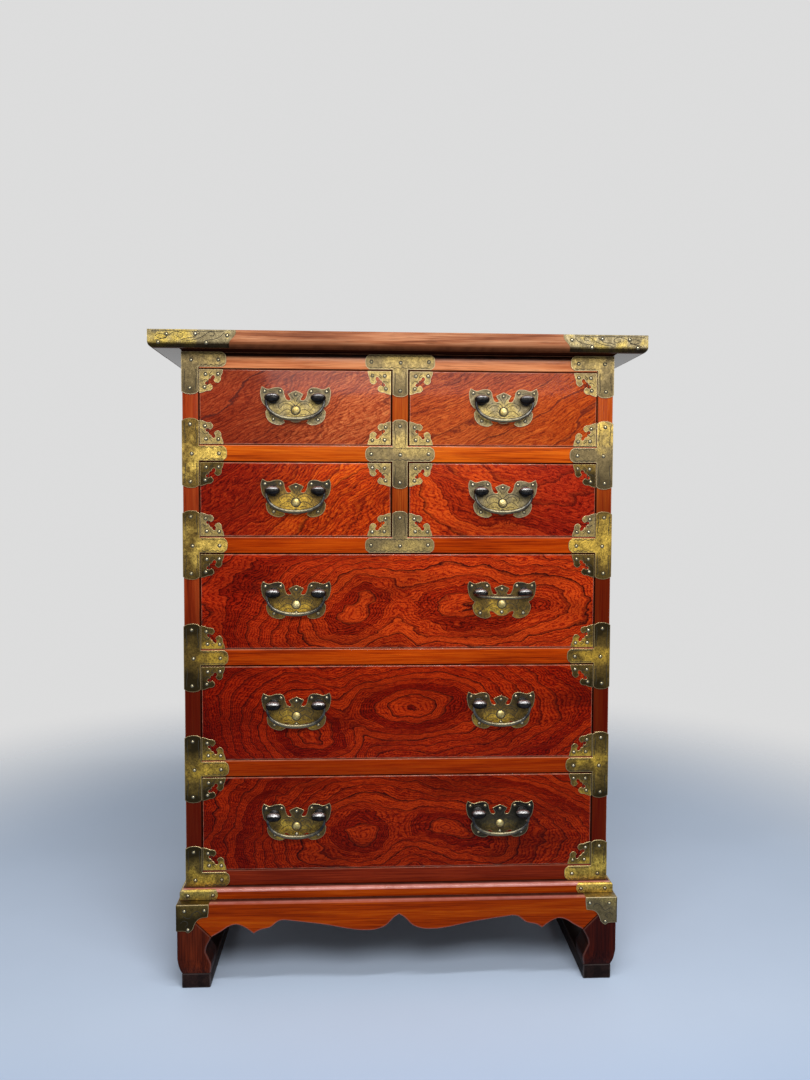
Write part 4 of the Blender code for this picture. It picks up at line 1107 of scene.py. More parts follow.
def makeStile(side, sign):
    foot, head = caseFoot + seat, caseHead - seat
    outer = sign * halfCase
    left, right = sorted((outer, sign * halfOpening))
    bm = newShape()
    made = board(bm, (left, frontY, foot), (right, frontY + chest["stileDeep"], head))
    # the edges beside the drawer openings are darkened: painted shade in the gaps
    soilAndShade(bm, made, lambda face: abs(face.calc_center_median().x) < halfOpening + edgeLook["reach"])
    wood = "shadedLeftStileWood" if sign < 0 else "stileWood"
    finishPiece(f"{side}_stile_wood", bm, [wood], "case", [f"{side}_stile"])
    arm, tall, arch, thick, rim = (mountLook[key] for key in ("arm", "stem", "arch", "thick", "rim"))
    stem = stemKnots(chest["stile"], stileMount["head"]) + [(-proud, tall - arch, True)]
    mounts = [(foot + arm, (1,))]
    mounts += [(low - railHeight / 2, (1, -1)) for low in rowLows[1:]]
    mounts += [(head - arm, (-1,))]
    bm = newShape()
    for (mid, ways), (inside, up, brass) in zip(mounts, goldSpots[side]):
        onFront = facing((outer, frontY + thick - proud, mid), "front")
        outline = flow(flipped(mountKnots(ways, stem, mountLook["reach"]), -sign))
        heart = Vector((outer - sign * inside, frontY, mid + up))
        sheet(bm, outline, onFront, thick, rim, heart, mountBrass.index(brass))
        onSide = facing((outer - sign * (thick - proud), frontY, mid), side)
        top = (tall if 1 in ways else arm) - arch
        bottom = arch - (tall if -1 in ways else arm)
        lap, deep = -stileMount["wrapLap"], stileMount["wrap"]
        wrap = [Vector(corner) for corner in ((lap, top), (deep, top), (deep, bottom), (lap, bottom))]
        sheet(bm, wrap, onSide, thick, rim, Vector((outer, frontY + stileMount["wrapHeart"], mid)))
        u, v = stileMount["stemNail"]
        spots = stileMount["nails"] + [(u, way * v) for way in ways]
        nail("case", onFront, flipped(spots, -sign), thick)
        u, v = stileMount["sideNail"]
        nail("case", onSide, [(u, way * v) for way in (*ways, 0)], thick)
        chaseMount(onFront, stileMount, ways, -sign)
    finishPiece(f"{side}_stile_mounts", bm, mountBrass, "case")


def makeCentreMount(level, mid, ways):
    thick = mountLook["thick"]
    stem = stemKnots(centreMount["stemHalf"], centreMount["head"])
    outline = flow(mirrored(mountKnots(ways, stem, centreMount["half"])))
    lay = facing((0.0, frontY + chest["railSetback"] + thick - proud, mid), "front")
    bm = newShape()
    heart = Vector((centreMount["heart"], frontY, mid + centreMount["rubbed"][level]))
    sheet(bm, outline, lay, thick, mountLook["rim"], heart)
    nail("case", lay, centreMount["nails"] + [centreMount["stemNail"][way] for way in ways], thick)
    chaseMount(lay, centreMount, ways)
    finishPiece(f"{level}_centre_mount", bm, ["centreBrass"], "case")


def railBoard(bm, low, high):
    # the rail itself, dark along its lower edge with painted shade in the gap
    front = frontY + chest["railSetback"]
    made = board(bm, (seat - halfOpening, front, low), (halfOpening - seat, frontY + chest["railDeep"], high))
    soilAndShade(bm, made, lambda face: face.calc_center_median().z < low + edgeLook["reach"])


def makeRails():
    inside = halfCase - chest["side"]
    start = frontY + chest["stileDeep"] + seat
    end = backY - chest["backPanel"] - seat
    for node, wood, low, under in zip(railNodes, railWoods, rowLows, [caseFoot + seat] + rowHighs):
        bm = newShape()
        railBoard(bm, under, low)
        reach = inside + railLook["tongue"]
        corner = (-reach, start + railLook["boardFrom"], low - railLook["board"])
        bar(bm, corner, (reach, end, low - railLook["boardDown"]), railLook["boardEase"], 1)
        guides = [(*sorted((sign * halfOpening, sign * (inside - seat))), start) for sign in (-1, 1)]
        if node in ("second_row_rail", "top_row_rail"):
            wide = railLook["centreGuide"]
            guides.append((-wide, wide, frontY + railLook["centreFrom"]))
        for left, right, first in guides:
            corner = (left, first, low - railLook["guideSunk"])
            bar(bm, corner, (right, end, low + railLook["guide"]), railLook["guideEase"], 1)
        finishPiece(node + "_wood", bm, [wood, "insideWood"], "case", [node])
    bm = newShape()
    railBoard(bm, rowHighs[-1], caseHead - seat)
    finishPiece("top_rail_wood", bm, ["topRailWood"], "case", ["top_rail"])
    makeCentreMount("top", (rowHighs[-1] + caseHead) / 2, (-1,))
    makeCentreMount("upper", rowLows[4] - railHeight / 2, (1, -1))
    makeCentreMount("lower", rowLows[3] - railHeight / 2, (1,))
    for node in ("upper_centre_post", "lower_centre_post"):
        bm = newShape()
        # every edge of a post is darkened: painted shade in the gaps beside it
        soilAndShade(bm, board(bm, *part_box(node)), lambda face: True)
        finishPiece(node + "_wood", bm, ["postWood"], "case", [node])


makeStile("left", -1)
makeStile("right", 1)
makeRails()
print("stiles, rails and posts done")

# base moulding with its brass straps; spots are across from the outer corner and up from its foot
mouldLook = {"front": 0.0118, "side": 0.0073, "round": 0.004, "roundSteps": 5, "ease": 0.0008}
strapLook = {
    "length": 0.061, "wrap": 0.045, "skin": 0.0012, "lift": proud, "heart": 0.03,
    "levels": (0.03, 0.14, 0.28, 0.42, 0.56, 0.68),
    "nails": ((0.0122, 0.0075), (0.053, 0.0075)), "sideNails": ((0.012, 0.0075), (0.036, 0.0075)),
}
standLook = {
    "height": 0.143, "front": frontY - 0.0277, "half": halfCase + 0.0104, "leg": 0.0555, "ankle": 0.0463,
    "legRound": 0.0022, "runner": 0.025, "runnerWide": 0.047, "runnerInset": 0.006, "runnerRound": 0.0022,
    # edges of a leg: across as a share of what it gains over the ankle or of the inset, and height
    "legInside": ((1.0, 1.0, True), (0.56, 0.88), (0.16, 0.76), (0.0, 0.614), (0.43, 0.46), (0.9, 0.275)),
    "legOutside": ((0.0, 0.42, True), (0.45, 0.16), (1.0, 0.0, True)),
    "legSteps": 30, "mitreSteps": (0.2, 0.4, 0.6, 0.8, 0.96),
}
# the lower edge of an apron as shares of length and depth: beside a leg, then towards the middle
apronLook = {
    "thick": 0.022, "deep": 0.0508, "scallop": 0.119, "setback": 0.0005, "rim": 0.0016, "rimWear": 0.35,
    "ledge": 0.0001, "mitre": 0.002,  # how far below the top the ledge ends and the mitre starts
    "legCut": [
        (0.143, 0.896), (0.227, 0.768), (0.336, 0.693), (0.437, 0.772), (0.58, 1.0, True), (0.655, 0.896),
        (0.807, 0.803), (0.924, 0.606), (1.0, 0.575, True),
    ],
    "wave": [(0.69, 0.732), (0.255, 0.969), (0.125, 0.846), (0.04, 0.547), (0.0, 0.455, True)],
    "plain": [(0.0, 0.69, True)],
}
# brass bracket on a front leg; spots are across from the outer corner and up from the top
bracketLook = {
    "long": 0.052, "drop": 0.0485, "heart": (0.02, 0.01, 0.022),
    "outline": [
        (1.0, 0.0, True), (0.99, 0.24), (0.965, 0.42, True), (0.885, 0.435), (0.74, 0.46), (0.645, 0.53),
        (0.575, 0.63), (0.53, 0.745), (0.5, 0.84, True), (0.423, 0.92), (0.346, 0.955), (0.27, 0.9, True),
        (0.154, 0.89),
    ],
    "nails": ((0.0125, -0.0097), (0.045, -0.009), (0.0185, -0.0407)),
    "veins": (
        [(0.01, -0.018), (0.02, -0.022), (0.026, -0.014), (0.034, -0.01), (0.04, -0.016)],
        [(0.006, -0.03), (0.012, -0.026), (0.018, -0.03), (0.014, -0.036)],
    ),
    "ledge": {"out": 0.0008, "deep": 0.015, "down": 0.0002, "up": 0.0006, "ease": 0.0002, "edge": 0.001},
    "dullLedge": 0.036,  # the flat of the ledge is this far from a rubbed place
}


def makeMoulding():
    low, high = standLook["height"] + seat, caseFoot
    tall = high - low
    half = halfCase + mouldLook["side"]
    front = frontY - mouldLook["front"]
    upper = rounded(mouldLook["round"], mouldLook["roundSteps"], high, -1)
    profile = [(mouldLook["ease"], low), (0.0, low + mouldLook["ease"])] + upper
    bm = newShape()
    made = loft(bm, slabRings(half, front, backY, profile), wornBands(profile))
    mark(bm, made[-1], worn=1.0)  # the ledge on top, pale as a painted highlight
    finishPiece("base_moulding_wood", bm, ["mouldWood"], "case", ["base_moulding"])
    strapProfile = [(0.0, low + tall * share) for share in strapLook["levels"]] + upper[:-1]

    def innerEnd(z):
        off = min(1.0, abs(2 * (z - low) / tall - 1.0))
        return half - strapLook["length"] + tall / 3 * (1 - math.sqrt(1 - off**2))

    bm = newShape()
    for side, sign in (("left", -1), ("right", 1)):
        heart = Vector((sign * (half - strapLook["heart"]), front, low + tall / 2))
        cornerWrap(bm, sign, half, front, strapProfile, innerEnd, strapLook, heart, int(sign > 0))
        corner = (sign * half, front, low)
        nail("case", facing(corner, "front"), flipped(strapLook["nails"], -sign), proud)
        nail("case", facing(corner, side), strapLook["sideNails"], proud)
    finishPiece("base_moulding_straps", bm, ["capBrass", "brightBrass"], "case")


def apronKnots(half, middle):
    top, leg = standLook["height"], half - standLook["leg"]
    deep, scallop = apronLook["deep"], apronLook["scallop"]
    knots = [(0.0, top, True), (half - seat, top, True), (leg, top - standLook["leg"] + seat, True)]
    knots += [(leg - scallop * x, top - deep * z, *sharp) for x, z, *sharp in apronLook["legCut"]]
    knots += [((leg - scallop) * x, top - deep * z, *sharp) for x, z, *sharp in middle]
    return mirrored(knots)


def makeAprons():
    half, front, top = standLook["half"], standLook["front"], standLook["height"]
    thick, wave, plain = apronLook["thick"], apronLook["wave"], apronLook["plain"]
    inside = apronLook["setback"] + thick
    centre, halfDepth = (backY + front) / 2, (backY - front) / 2
    places = {
        "front": ((0.0, front + inside, 0.0), half, wave, "frontApronWood"),
        "back": ((0.0, backY - inside, 0.0), half, wave, "apronWood"),
        "left": ((-half + inside, centre, 0.0), halfDepth, plain, "sideApronWood"),
        "right": ((half - inside, centre, 0.0), halfDepth, plain, "sideApronWood"),
    }
    for way, (place, reach, line, wood) in places.items():

        def mitred(point, depth, reach=reach):
            limit = reach - depth - seat
            return Vector((max(-limit, min(limit, point.x)), point.y))

        bm = newShape()
        wornLayer = bm.faces.layers.float["worn"]
        outline = flow(apronKnots(reach, line))
        for face in sheet(bm, outline, facing(place, way), thick, apronLook["rim"], clamp=mitred):
            middle = face.calc_center_median()
            out = abs(middle.x if way in ("front", "back") else middle.y - centre)
            # the flat top of each apron is marked worn, so it is pale: a painted highlight
            if middle.z > top - apronLook["ledge"]:
                face[wornLayer] = 1.0
            elif out > reach - standLook["leg"] and middle.z < top - apronLook["mitre"]:
                face[wornLayer] = 0.0
            else:
                face[wornLayer] *= apronLook["rimWear"]
        finishPiece(f"{way}_apron_wood", bm, [wood], "case", [f"{way}_apron"])


def legProfile():
    # height, outer and inner edge of a leg, in from its outer corner; the top is cut to the mitre
    wide, ankle, inset = standLook["leg"], standLook["ankle"], standLook["runnerInset"]
    foot = standLook["runner"] + seat
    tall = standLook["height"] - seat - wide - foot

    def edgeLine(start, size, shape, last, steps):
        knots = [(start + size * u, foot + tall * share, *sharp) for u, share, *sharp in shape]
        return flow(knots + last, steps, False)

    def at(line, z, beyond):
        for a, b in zip(line, line[1:]):
            if b.y <= z <= a.y:
                return a.x + (b.x - a.x) * (a.y - z) / max(1e-9, a.y - b.y)
        return beyond

    last = [(inset + standLook["runnerWide"], foot, True)]
    inner = edgeLine(ankle, wide - ankle, standLook["legInside"], last, 6)
    outer = edgeLine(0.0, inset, standLook["legOutside"], [], 8)
    steps = standLook["legSteps"]
    levels = [foot + tall * step / steps for step in range(steps + 1)]
    found = [(z, at(outer, z, 0.0), at(inner, z, wide)) for z in levels]
    mitre = standLook["mitreSteps"]
    return found + [(foot + tall + wide * share, 0.0, wide * (1 - share)) for share in mitre]


def easedSquare(low, high, ease):
    # four points round each corner, from the outer corner on
    points = []
    for u, v in ((0, 0), (1, 0), (1, 1), (0, 1)):
        middle = Vector((high - ease if u else low + ease, high - ease if v else low + ease))
        start = math.atan2(1 if v else -1, 1 if u else -1) - math.pi / 4
        for step in range(4):
            angle = start + math.pi / 2 * step / 3
            points.append(middle + Vector((math.cos(angle), math.sin(angle))) * ease)
    return points


def makeLegs():
    profile = legProfile()
    top = standLook["height"] - seat
    for end, face, inward in (("front", standLook["front"], 1), ("back", backY, -1)):
        for side, sign in (("left", -1), ("right", 1)):
            corner = Vector((sign * standLook["half"], face, top))
            rings = []
            for z, outer, inner in profile:
                square = easedSquare(outer, inner, min(standLook["legRound"], (inner - outer) * 0.3))
                rings.append([Vector((corner.x - sign * u, face + inward * v, z)) for u, v in square])
            bm = newShape()
            for k, facet in enumerate(loft(bm, rings)[:-2]):
                spoke = k % len(rings[0])
                mark(bm, facet, worn=1.0 if 4 <= spoke <= 6 else 0.0)  # edge at the front, inside
                facet.material_index = 1 if 7 <= spoke <= 11 else 0  # inner sides, near black with painted shade
            woods = ["rightLegWood" if sign > 0 else "legWood", "legInsideShadedWood"]
            finishPiece(f"{end}_{side}_leg_wood", bm, woods, "case", [f"{end}_{side}_leg"])
            if end == "front":
                makeBracket(side, sign, corner)


def makeBracket(side, sign, corner):
    thick, ledge = mountLook["thick"], bracketLook["ledge"]
    inner = flipped(bracketLook["outline"], bracketLook["long"], -bracketLook["drop"])
    knots = [(-proud, 0.0, True)] + inner + [(-proud, inner[-1][1], True)]
    inside, deep, up = bracketLook["heart"]
    heart = corner + Vector((-sign * inside, deep, up))
    bm = newShape()
    for way, flip in (("front", -sign), (side, 1)):
        lay = facing(corner - Vector(sideWays[way][1]) * (thick - proud), way)
        sheet(bm, flow(flipped(knots, flip)), lay, thick, mountLook["rim"], heart)
        nail("case", lay, flipped(bracketLook["nails"], flip), thick)
        for vein in bracketLook["veins"]:
            chase("case", lay, flipped(vein, flip), thick)
    left, right = sorted((corner.x, corner.x - sign * bracketLook["long"]))
    low = (left, corner.y - ledge["out"], corner.z - ledge["down"])
    high = (right, corner.y + ledge["deep"], corner.z + ledge["up"])
    for facet in bar(bm, low, high, ledge["ease"]):
        middle = facet.calc_center_median()
        if middle.y < corner.y + ledge["edge"]:
            mark(bm, facet, worn=1.0, heart=middle)
        else:
            mark(bm, facet, worn=0.0, heart=middle + Vector((0.0, 0.0, bracketLook["dullLedge"])))
    brass = "plateBrass" if sign < 0 else "paleBrass"
    finishPiece(f"{side}_leg_bracket", bm, [brass], "case")


def makeRunners():
    for node in ("left_runner", "right_runner"):
        bm = newShape()
        bar(bm, *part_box(node), standLook["runnerRound"])
        finishPiece(node + "_wood", bm, ["runnerWood"], "case", [node])


makeMoulding()
makeAprons()
makeLegs()
makeRunners()
print("stand done")

# hooked brass on the corners of the drawer fronts; spots are from the corner inwards
cornerLook = {
    "rim": 0.0003, "thick": 0.0012, "outside": 0.25,
    "heart": (0.012, 0.018), "rubbed": -0.018, "dull": 0.04,
    "hook": [
        (0.0385, 0.0, True), (0.037, 0.0065), (0.0348, 0.012), (0.0343, 0.0175), (0.0295, 0.0217),
        (0.0253, 0.0202), (0.0228, 0.0171, True), (0.0251, 0.0136), (0.0236, 0.0096), (0.0204, 0.0104),
        (0.018, 0.0145),
    ],
    "elbow": (0.0152, 0.0152, True),
    "nails": ((0.0102, 0.008), (0.0302, 0.0075), (0.0085, 0.0287)),
    "veins": (
        [(0.004, 0.02), (0.01, 0.016), (0.014, 0.02), (0.012, 0.026)],
        [(0.02, 0.004), (0.016, 0.01), (0.02, 0.0085)],
    ),
}


def dullCorner(name, x, signZ):
    # most upper corners beside a stile are dull
    if name.startswith("top") or (name == "bottom_drawer" and x > 0):
        return False
    return signZ < 0 and abs(x) > cornerLook["outside"]


def makeDrawerFronts():
    hook, thick = cornerLook["hook"], cornerLook["thick"]
    other = [(knot[1], knot[0], *knot[2:]) for knot in reversed(hook)]
    knots = [(0.0, 0.0, True)] + hook + [cornerLook["elbow"]] + other
    for name in frontFigures:
        low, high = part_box(name + "_front")
        bm = newShape()
        made = board(bm, (low.x, frontY, low.z), (high.x, frontY + chest["frontThick"], high.z))
        soilAndShade(bm, made, lambda face: abs(face.normal.x) > 0.3)  # upright edges, dark with painted shade in the gaps
        finishPiece(name + "_front_wood", bm, [name], name, [name + "_front"])
        bm = newShape()
        for x, z, signX, signZ in (
            (low.x, low.z, 1, 1), (low.x, high.z, 1, -1), (high.x, low.z, -1, 1), (high.x, high.z, -1, -1)
        ):
            lay = facing((x, frontY + thick - proud, z), "front")
            dull = dullCorner(name, x, signZ)
            across, up = cornerLook["heart"]
            off = cornerLook["dull" if dull else "rubbed"]
            heart = Vector((x + signX * across, frontY, z + signZ * up + off))
            outline = flow(flipped(knots, signX, signZ), 4)
            sheet(bm, outline, lay, thick, cornerLook["rim"], heart, int(dull))
            nail(name, lay, flipped(cornerLook["nails"], signX, signZ), thick)
            for vein in cornerLook["veins"]:
                chase(name, lay, flipped(vein, signX, signZ), thick, 4)
        brass = "paleBrass" if name.startswith(("top", "second")) else "plateBrass"
        finishPiece(name + "_corners", bm, [brass, "plateBrass"], name)


makeDrawerFronts()
print("drawer fronts done")

# pulls: bat-shaped plate, two dark oval posts and a stud; spots are from the middle of the plate
pullLook = {
    "thick": 0.0012, "rim": 0.00035, "top": 0.0313, "heart": (-0.006, -0.014), "sides": 14,
    "pivotUp": 0.0123, "pivotOut": 0.0105, "spacing": 0.037,
    "knobHalf": 0.0125, "knob": 0.0074, "knobRings": 11, "knobTrim": 0.35, "knobPower": 2.4,
    "knobHighlight": (0.2917, 0.7083),  # painted highlight along the knob's top: up from the middle, as shares of its radius
    "rose": 0.0092, "roseSteps": ((1.0, -0.0002), (1.0, 0.0006), (0.86, 0.0016), (0.58, 0.0026)),
    "neck": 0.0034, "neckFrom": 0.0042,
    "stud": 0.0068, "studHigh": 0.0034, "studFoot": 0.0006, "studSunk": 0.0003, "studDown": 0.0068,
    "studRings": 7, "studSteps": 6.4,  # the last ring stops short of the top and leaves a small flat
    "shadeAndDirt": ((0.0082, -0.0002), (0.0082, 0.0003), (0.00612, 0.0004)),
    "brass": {
        "top_left": "palePullBrass", "top_right": "palePullBrass", "second_right": "palePullBrass",
        "bottom_right": "darkPullBrass",
    },
    "nails": (
        (0.05, 0.0235), (-0.05, 0.0235), (0.025, 0.0235), (-0.025, 0.0235),
        (0.036, -0.0215), (-0.036, -0.0215), (0.0, 0.0185), (0.0, -0.02),
    ),
    "half": [
        (0.0, 0.025, True), (0.007, 0.0222), (0.0126, 0.0194, True), (0.0103, 0.015), (0.0082, 0.0108),
        (0.011, 0.0093), (0.0146, 0.0105), (0.017, 0.015), (0.0185, 0.0194, True), (0.0195, 0.0245),
        (0.024, 0.0292), (0.0345, 0.0297), (0.0445, 0.0272), (0.0545, 0.0314, True), (0.057, 0.0245),
        (0.0565, 0.0155), (0.054, 0.006), (0.049, -0.0003), (0.045, -0.003, True),
        (0.0488, -0.0093, True), (0.0475, -0.018), (0.043, -0.025), (0.033, -0.03), (0.024, -0.0305),
        (0.0175, -0.027, True), (0.02, -0.0195), (0.0167, -0.0186), (0.0127, -0.0207), (0.0066, -0.0252),
        (0.0, -0.0264, True),
    ],
    "veins": (
        [(0.0012, 0.001), (0.009, 0.0075), (0.019, 0.007), (0.028, 0.0005), (0.024, -0.007)],
        [(0.003, -0.003), (0.011, 0.003), (0.019, 0.003), (0.024, -0.002)],
        [(0.006, -0.009), (0.013, -0.005), (0.02, -0.008), (0.026, -0.013)],
        [(0.005, -0.016), (0.012, -0.013), (0.019, -0.0145)],
        [(0.001, 0.007), (0.003, 0.011), (0.006, 0.015), (0.0085, 0.019)],
        [(0.03, -0.013), (0.034, -0.017), (0.04, -0.016), (0.042, -0.011)],
        [(0.03, 0.0215), (0.037, 0.0235), (0.043, 0.0225)],
    ),
}
# hanging bail: half its width, its drop, the bend at each end and the radius at end and grip
bailLook = {
    "half": 0.0468, "drop": 0.0341, "hook": 0.0044, "hookTurns": (20, 40, 60, 80), "start": 0.03,
    "end": 0.0021, "grip": 0.0036, "flat": 0.85, "steps": 15, "sides": 12, "sharp": 50.0,
    "bow": 0.9, "swell": 1.5,  # how full its curve is and how late it thickens
    "rubbed": (0.9333, 0.2667), "raised": {"third_right": 84.0},
}


def turned(bm, place, profile, index):
    # a round piece that points to the front, from radius and distance out
    rings = []
    for radius, out in profile:
        centre = place + Vector((0.0, -out, 0.0))
        rings.append(oval(centre, Vector((radius, 0.0, 0.0)), Vector((0.0, 0.0, radius)), pullLook["sides"]))
    loft(bm, rings, index=index)


def makePost(bm, place):
    # a round foot and neck, and an oval knob with a painted highlight, pale along its top
    neck, out, count, trim = (pullLook[key] for key in ("neck", "pivotOut", "knobRings", "knobTrim"))
    foot = [(pullLook["rose"] * share, high) for share, high in pullLook["roseSteps"]]
    turned(bm, place, foot + [(neck, pullLook["neckFrom"]), (neck, out)], 1)
    rings = []
    for k in range(count):
        share = math.cos(math.pi * (k + trim) / (count - 1 + 2 * trim))
        radius = pullLook["knob"] * (1 - abs(share) ** pullLook["knobPower"]) ** 0.5
        centre = place + Vector((share * pullLook["knobHalf"], -out, 0.0))
        rings.append(oval(centre, Vector((0.0, -radius, 0.0)), Vector((0.0, 0.0, radius)), pullLook["sides"]))
    for facet in loft(bm, rings, index=1):
        rise = (facet.calc_center_median().z - place.z) / pullLook["knob"]
        mark(bm, facet, worn=between(rise, *pullLook["knobHighlight"]))


def makePlate(name, body, pivot):
    thick, stud, foot = (pullLook[key] for key in ("thick", "stud", "studFoot"))
    face = frontY - seat - thick
    centre = Vector((pivot.x, frontY - seat, pivot.z - pullLook["pivotUp"]))
    lay = facing(centre, "front")
    across, up = pullLook["heart"]
    heart = centre + Vector((across, 0.0, up))
    bm = newShape()
    sheet(bm, flow(mirrored(pullLook["half"]), 4), lay, thick, pullLook["rim"], heart)
    for sign in (-1, 1):
        makePost(bm, Vector((pivot.x + sign * pullLook["spacing"], face, pivot.z)))
    place = Vector((centre.x, face, centre.z - pullLook["studDown"]))
    # a dark ring round the stud: painted shade with dirt
    turned(bm, place, pullLook["shadeAndDirt"], 3)
    dome = [(stud, -pullLook["studSunk"])]
    for step in range(pullLook["studRings"]):
        angle = math.pi / 2 * step / pullLook["studSteps"]
        dome.append((stud * math.cos(angle), foot + (pullLook["studHigh"] - foot) * math.sin(angle)))
    turned(bm, place, dome, 2)
    metals = [pullLook["brass"].get(name, "pullBrass"), "postBronze", "studBrass", "grime"]
    finishPiece(f"{name}_plate_brass", bm, metals, body, [f"{name}_plate"])
    nail(body, lay, pullLook["nails"], thick)
    for sign in (-1, 1):
        for vein in pullLook["veins"]:
            chase(body, lay, flipped(vein, sign), thick)


def bailPath():
    # half a bail from inside its post to the middle of the grip: across, up and radius
    half, hook, end, count = (bailLook[key] for key in ("half", "hook", "end", "steps"))
    path = [(bailLook["start"], 0.0, end), (half - hook, 0.0, end)]
    for turn in bailLook["hookTurns"]:
        angle = math.radians(turn)
        path.append((half - hook + hook * math.sin(angle), hook * (math.cos(angle) - 1), end))
    for step in range(count):
        angle = math.pi / 2 * step / (count - 1)
        across = half * max(0.0, math.cos(angle)) ** bailLook["bow"]
        up = -hook - (bailLook["drop"] - hook) * math.sin(angle) ** bailLook["bow"]
        path.append((across, up, end + (bailLook["grip"] - end) * math.sin(angle) ** bailLook["swell"]))
    path[-1] = (0.0, *path[-1][1:])
    return path


def makeBail(name, pivot):
    half = bailPath()
    path = half + flipped(half[-2::-1], -1)
    tilt = Matrix.Rotation(-math.radians(bailLook["raised"].get(name, 0.0)), 3, "X")
    spots = [Vector((x, 0.0, z)) for x, z, _ in path]
    rings = []
    held = []
    for k, (spot, (_, _, radius)) in enumerate(zip(spots, path)):
        along = (spots[min(k + 1, len(spots) - 1)] - spots[max(k - 1, 0)]).normalized()
        side = along.cross(Vector((0.0, 1.0, 0.0))).normalized() * radius
        deep = Vector((0.0, bailLook["flat"] * radius, 0.0))
        rings.append(oval(pivot + tilt @ spot, tilt @ side, tilt @ deep, bailLook["sides"]))
        held.append(between(abs(spot.x) / bailLook["half"], *bailLook["rubbed"]))
    bm = newShape()
    loft(bm, rings, held)
    node = f"{name}_bail"
    finishPiece(node + "_bronze", bm, ["bailBronze"], node, [node], bailLook["sharp"])


def makePulls():
    for row in ("top", "second", "third", "fourth", "bottom"):
        for side in ("left", "right"):
            name = f"{row}_{side}"
            low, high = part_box(f"{name}_plate")
            out = seat + pullLook["thick"] + pullLook["pivotOut"]
            up = pullLook["pivotUp"] - pullLook["top"]
            pivot = Vector(((low.x + high.x) / 2, frontY - out, high.z + up))
            makePlate(name, f"{name}_drawer" if row in ("top", "second") else f"{row}_drawer", pivot)
            makeBail(name, pivot)


makePulls()
print("pulls and bails done")


def bakeNodes(body, label, points, look, tree):
    # runs a node tree on points or lines and keeps the result as a plain mesh
    name = f"{body}_{label}"
    helper = bpy.data.objects.new(name + "_helper", points)
    room.collection.objects.link(helper)
    modifier = helper.modifiers.new("make", "NODES")
    modifier.node_group = tree
    for item in tree.interface.items_tree:
        if item.item_type == "SOCKET" and item.in_out == "INPUT" and item.name in look:
            modifier[item.identifier] = look[item.name]
    bpy.context.view_layer.update()
    graph = bpy.context.evaluated_depsgraph_get()
    mesh = bpy.data.meshes.new_from_object(helper.evaluated_get(graph))
    bpy.data.objects.remove(helper)
    mesh.name = name
    piece = bpy.data.objects.new(name, mesh)
    room.collection.objects.link(piece)
    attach(piece, body)


def driveNails():
    tree = nailTree()
    for body, spots in nailSpots.items():
        points = bpy.data.meshes.new(f"{body}_nail_spots")
        points.from_pydata([place for place, _ in spots], [], [])
        ways = points.attributes.new("facing", "FLOAT_VECTOR", "POINT")
        for item, (_, way) in zip(ways.data, spots):
            item.vector = way
        bakeNodes(body, "nails", points, nailLook, tree)


def cutLines():
    tree = chasingTree()
    for body, lines in chasedLines.items():
        verts = []
        edges = []
        for line in lines:
            first = len(verts)
            verts += line
            edges += [(k, k + 1) for k in range(first, len(verts) - 1)]
        paths = bpy.data.meshes.new(f"{body}_chased_paths")
        paths.from_pydata(verts, edges, [])
        bakeNodes(body, "chasing", paths, chaseLook, tree)


driveNails()
cutLines()
print("nails:", sum(len(spots) for spots in nailSpots.values()))

# solids whose shape is right keep it and get their finish
keptNodes = {"left_side": "sideWood", "right_side": "sideWood", "back_panel": "backWood"}
keptNodes.update({f"{name}_box": "insideWood" for name in frontFigures})
for node, wood in keptNodes.items():
    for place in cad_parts[node].material_slots:
        place.link = "OBJECT"
        place.material = finishes[wood]
print("kept solids finished:", len(keptNodes))

# a floor that fades out, two soft lamps and a pale sky that is dimmer in front when mirrored
studio = {
    "floor": (0.555, 0.66, 0.82), "nearFloor": (0.43, 0.56, 0.77), "near": (-0.25, -0.62),
    "floorReach": 6.0, "floorSides": 96, "fade": (0.85, 2.0), "mottle": 1.03,
    "mottleSize": 9.0, "mottleDetail": 3.0, "shine": 0.1, "rough": 0.75, "roughMore": 0.1,
    "sky": 0.34, "backdrop": 0.72, "dimFront": 0.75, "dimBehind": (-0.15, -0.75), "dimBelow": (0.24, 0.0),
}
lamps = {
    "frontSoftbox": {
        "place": (0.2, -1.55, 1.6), "aim": (0.05, -0.2, 0.8), "size": (1.4, 0.7), "power": 24.0,
    },
    "overheadStrip": {
        "place": (0.1, -1.0, 2.6), "aim": (0.0, -0.25, 0.3), "size": (1.7, 0.14), "power": 20.0,
    },
}


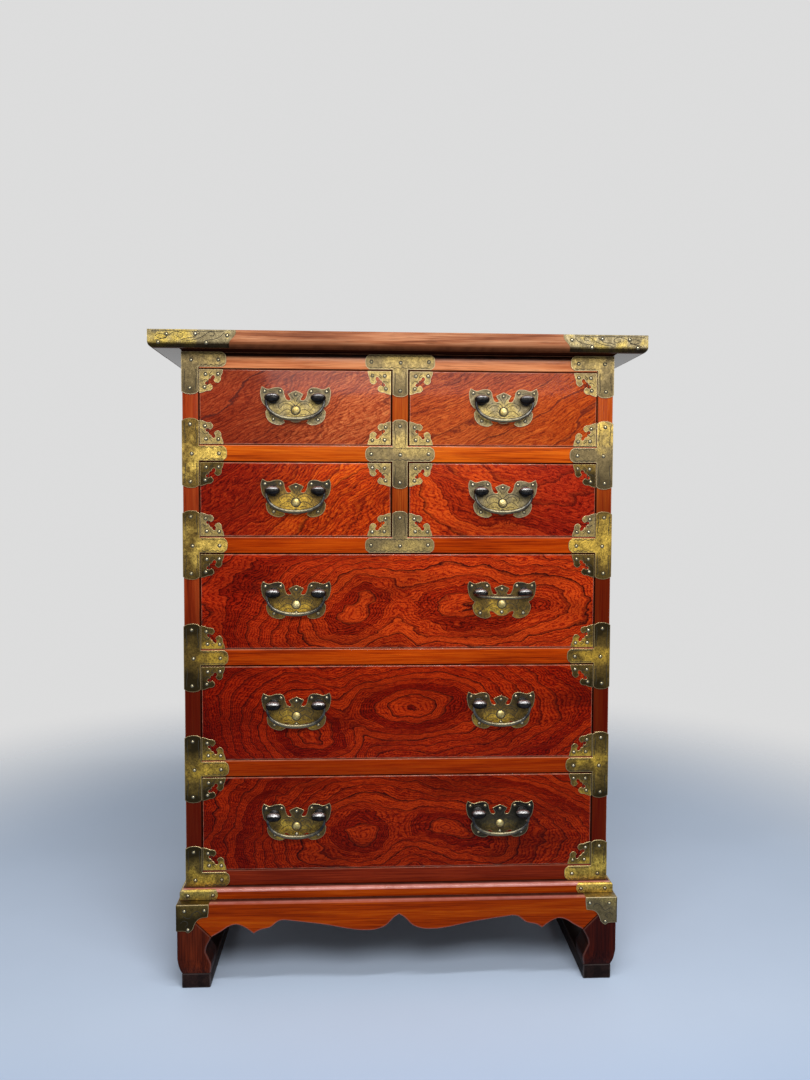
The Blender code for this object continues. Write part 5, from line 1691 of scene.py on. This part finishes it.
def makeFloor():
    bm = bmesh.new()
    bmesh.ops.create_circle(bm, cap_ends=True, segments=studio["floorSides"], radius=studio["floorReach"])
    mesh = bpy.data.meshes.new("floor")
    bm.to_mesh(mesh)
    bm.free()
    floor = bpy.data.objects.new("floor", mesh)
    room.collection.objects.link(floor)
    material, shader, coords = startFinish("floorPaint", Specular_IOR_Level=studio["shine"])
    tone = coords.noise(studio["mottleSize"], studio["mottleDetail"])
    pale = tuple(value * studio["mottle"] for value in studio["floor"])
    colour = tone.mixed(studio["floor"], pale)
    colour = coords.axis(1).soft(*studio["near"]).mixed(colour, studio["nearFloor"])
    feed(shader, Base_Color=colour, Roughness=studio["rough"] + tone * studio["roughMore"])
    fade = coords.length().soft(*studio["fade"])
    clear = coords.node("ShaderNodeBsdfTransparent")
    paint = Wire(coords.tree, shader.outputs[0])
    surface = coords.node("ShaderNodeMixShader", None, {0: fade, 1: paint, 2: clear})
    output = material.node_tree.nodes["Material Output"]
    material.node_tree.links.new(surface.socket, output.inputs["Surface"])
    mesh.materials.append(material)


def makeLamps():
    for name, lamp in lamps.items():
        light = bpy.data.lights.new(name, "AREA")
        light.shape = "RECTANGLE"
        light.size, light.size_y = lamp["size"]
        light.energy = lamp["power"]
        holder = bpy.data.objects.new(name, light)
        holder.location = lamp["place"]
        way = Vector(lamp["aim"]) - Vector(lamp["place"])
        holder.rotation_euler = way.to_track_quat("-Z", "Y").to_euler()
        holder.visible_camera = False
        room.collection.objects.link(holder)


def makeSky():
    world = bpy.data.worlds.new("studioSky")
    room.world = world
    world.use_nodes = True
    tree = world.node_tree
    sky = tree.nodes["Background"]
    rays = tree.nodes.new("ShaderNodeLightPath").outputs
    way = Wire(tree, tree.nodes.new("ShaderNodeTexCoord").outputs["Generated"])
    dim = way.axis(1).soft(*studio["dimBehind"]) * way.axis(2).soft(*studio["dimBelow"])
    shiny = Wire(tree, rays["Is Glossy Ray"]) + Wire(tree, rays["Is Transmission Ray"])
    seen = (Wire(tree, rays["Is Camera Ray"]) + shiny * (1.0 - dim * studio["dimFront"])).clamped()
    strength = studio["sky"] + seen * (studio["backdrop"] - studio["sky"])
    tree.links.new(strength.socket, sky.inputs["Strength"])
    sky.inputs["Color"].default_value = (1.0, 1.0, 1.0, 1.0)


makeFloor()
makeLamps()
makeSky()
print("studio set")
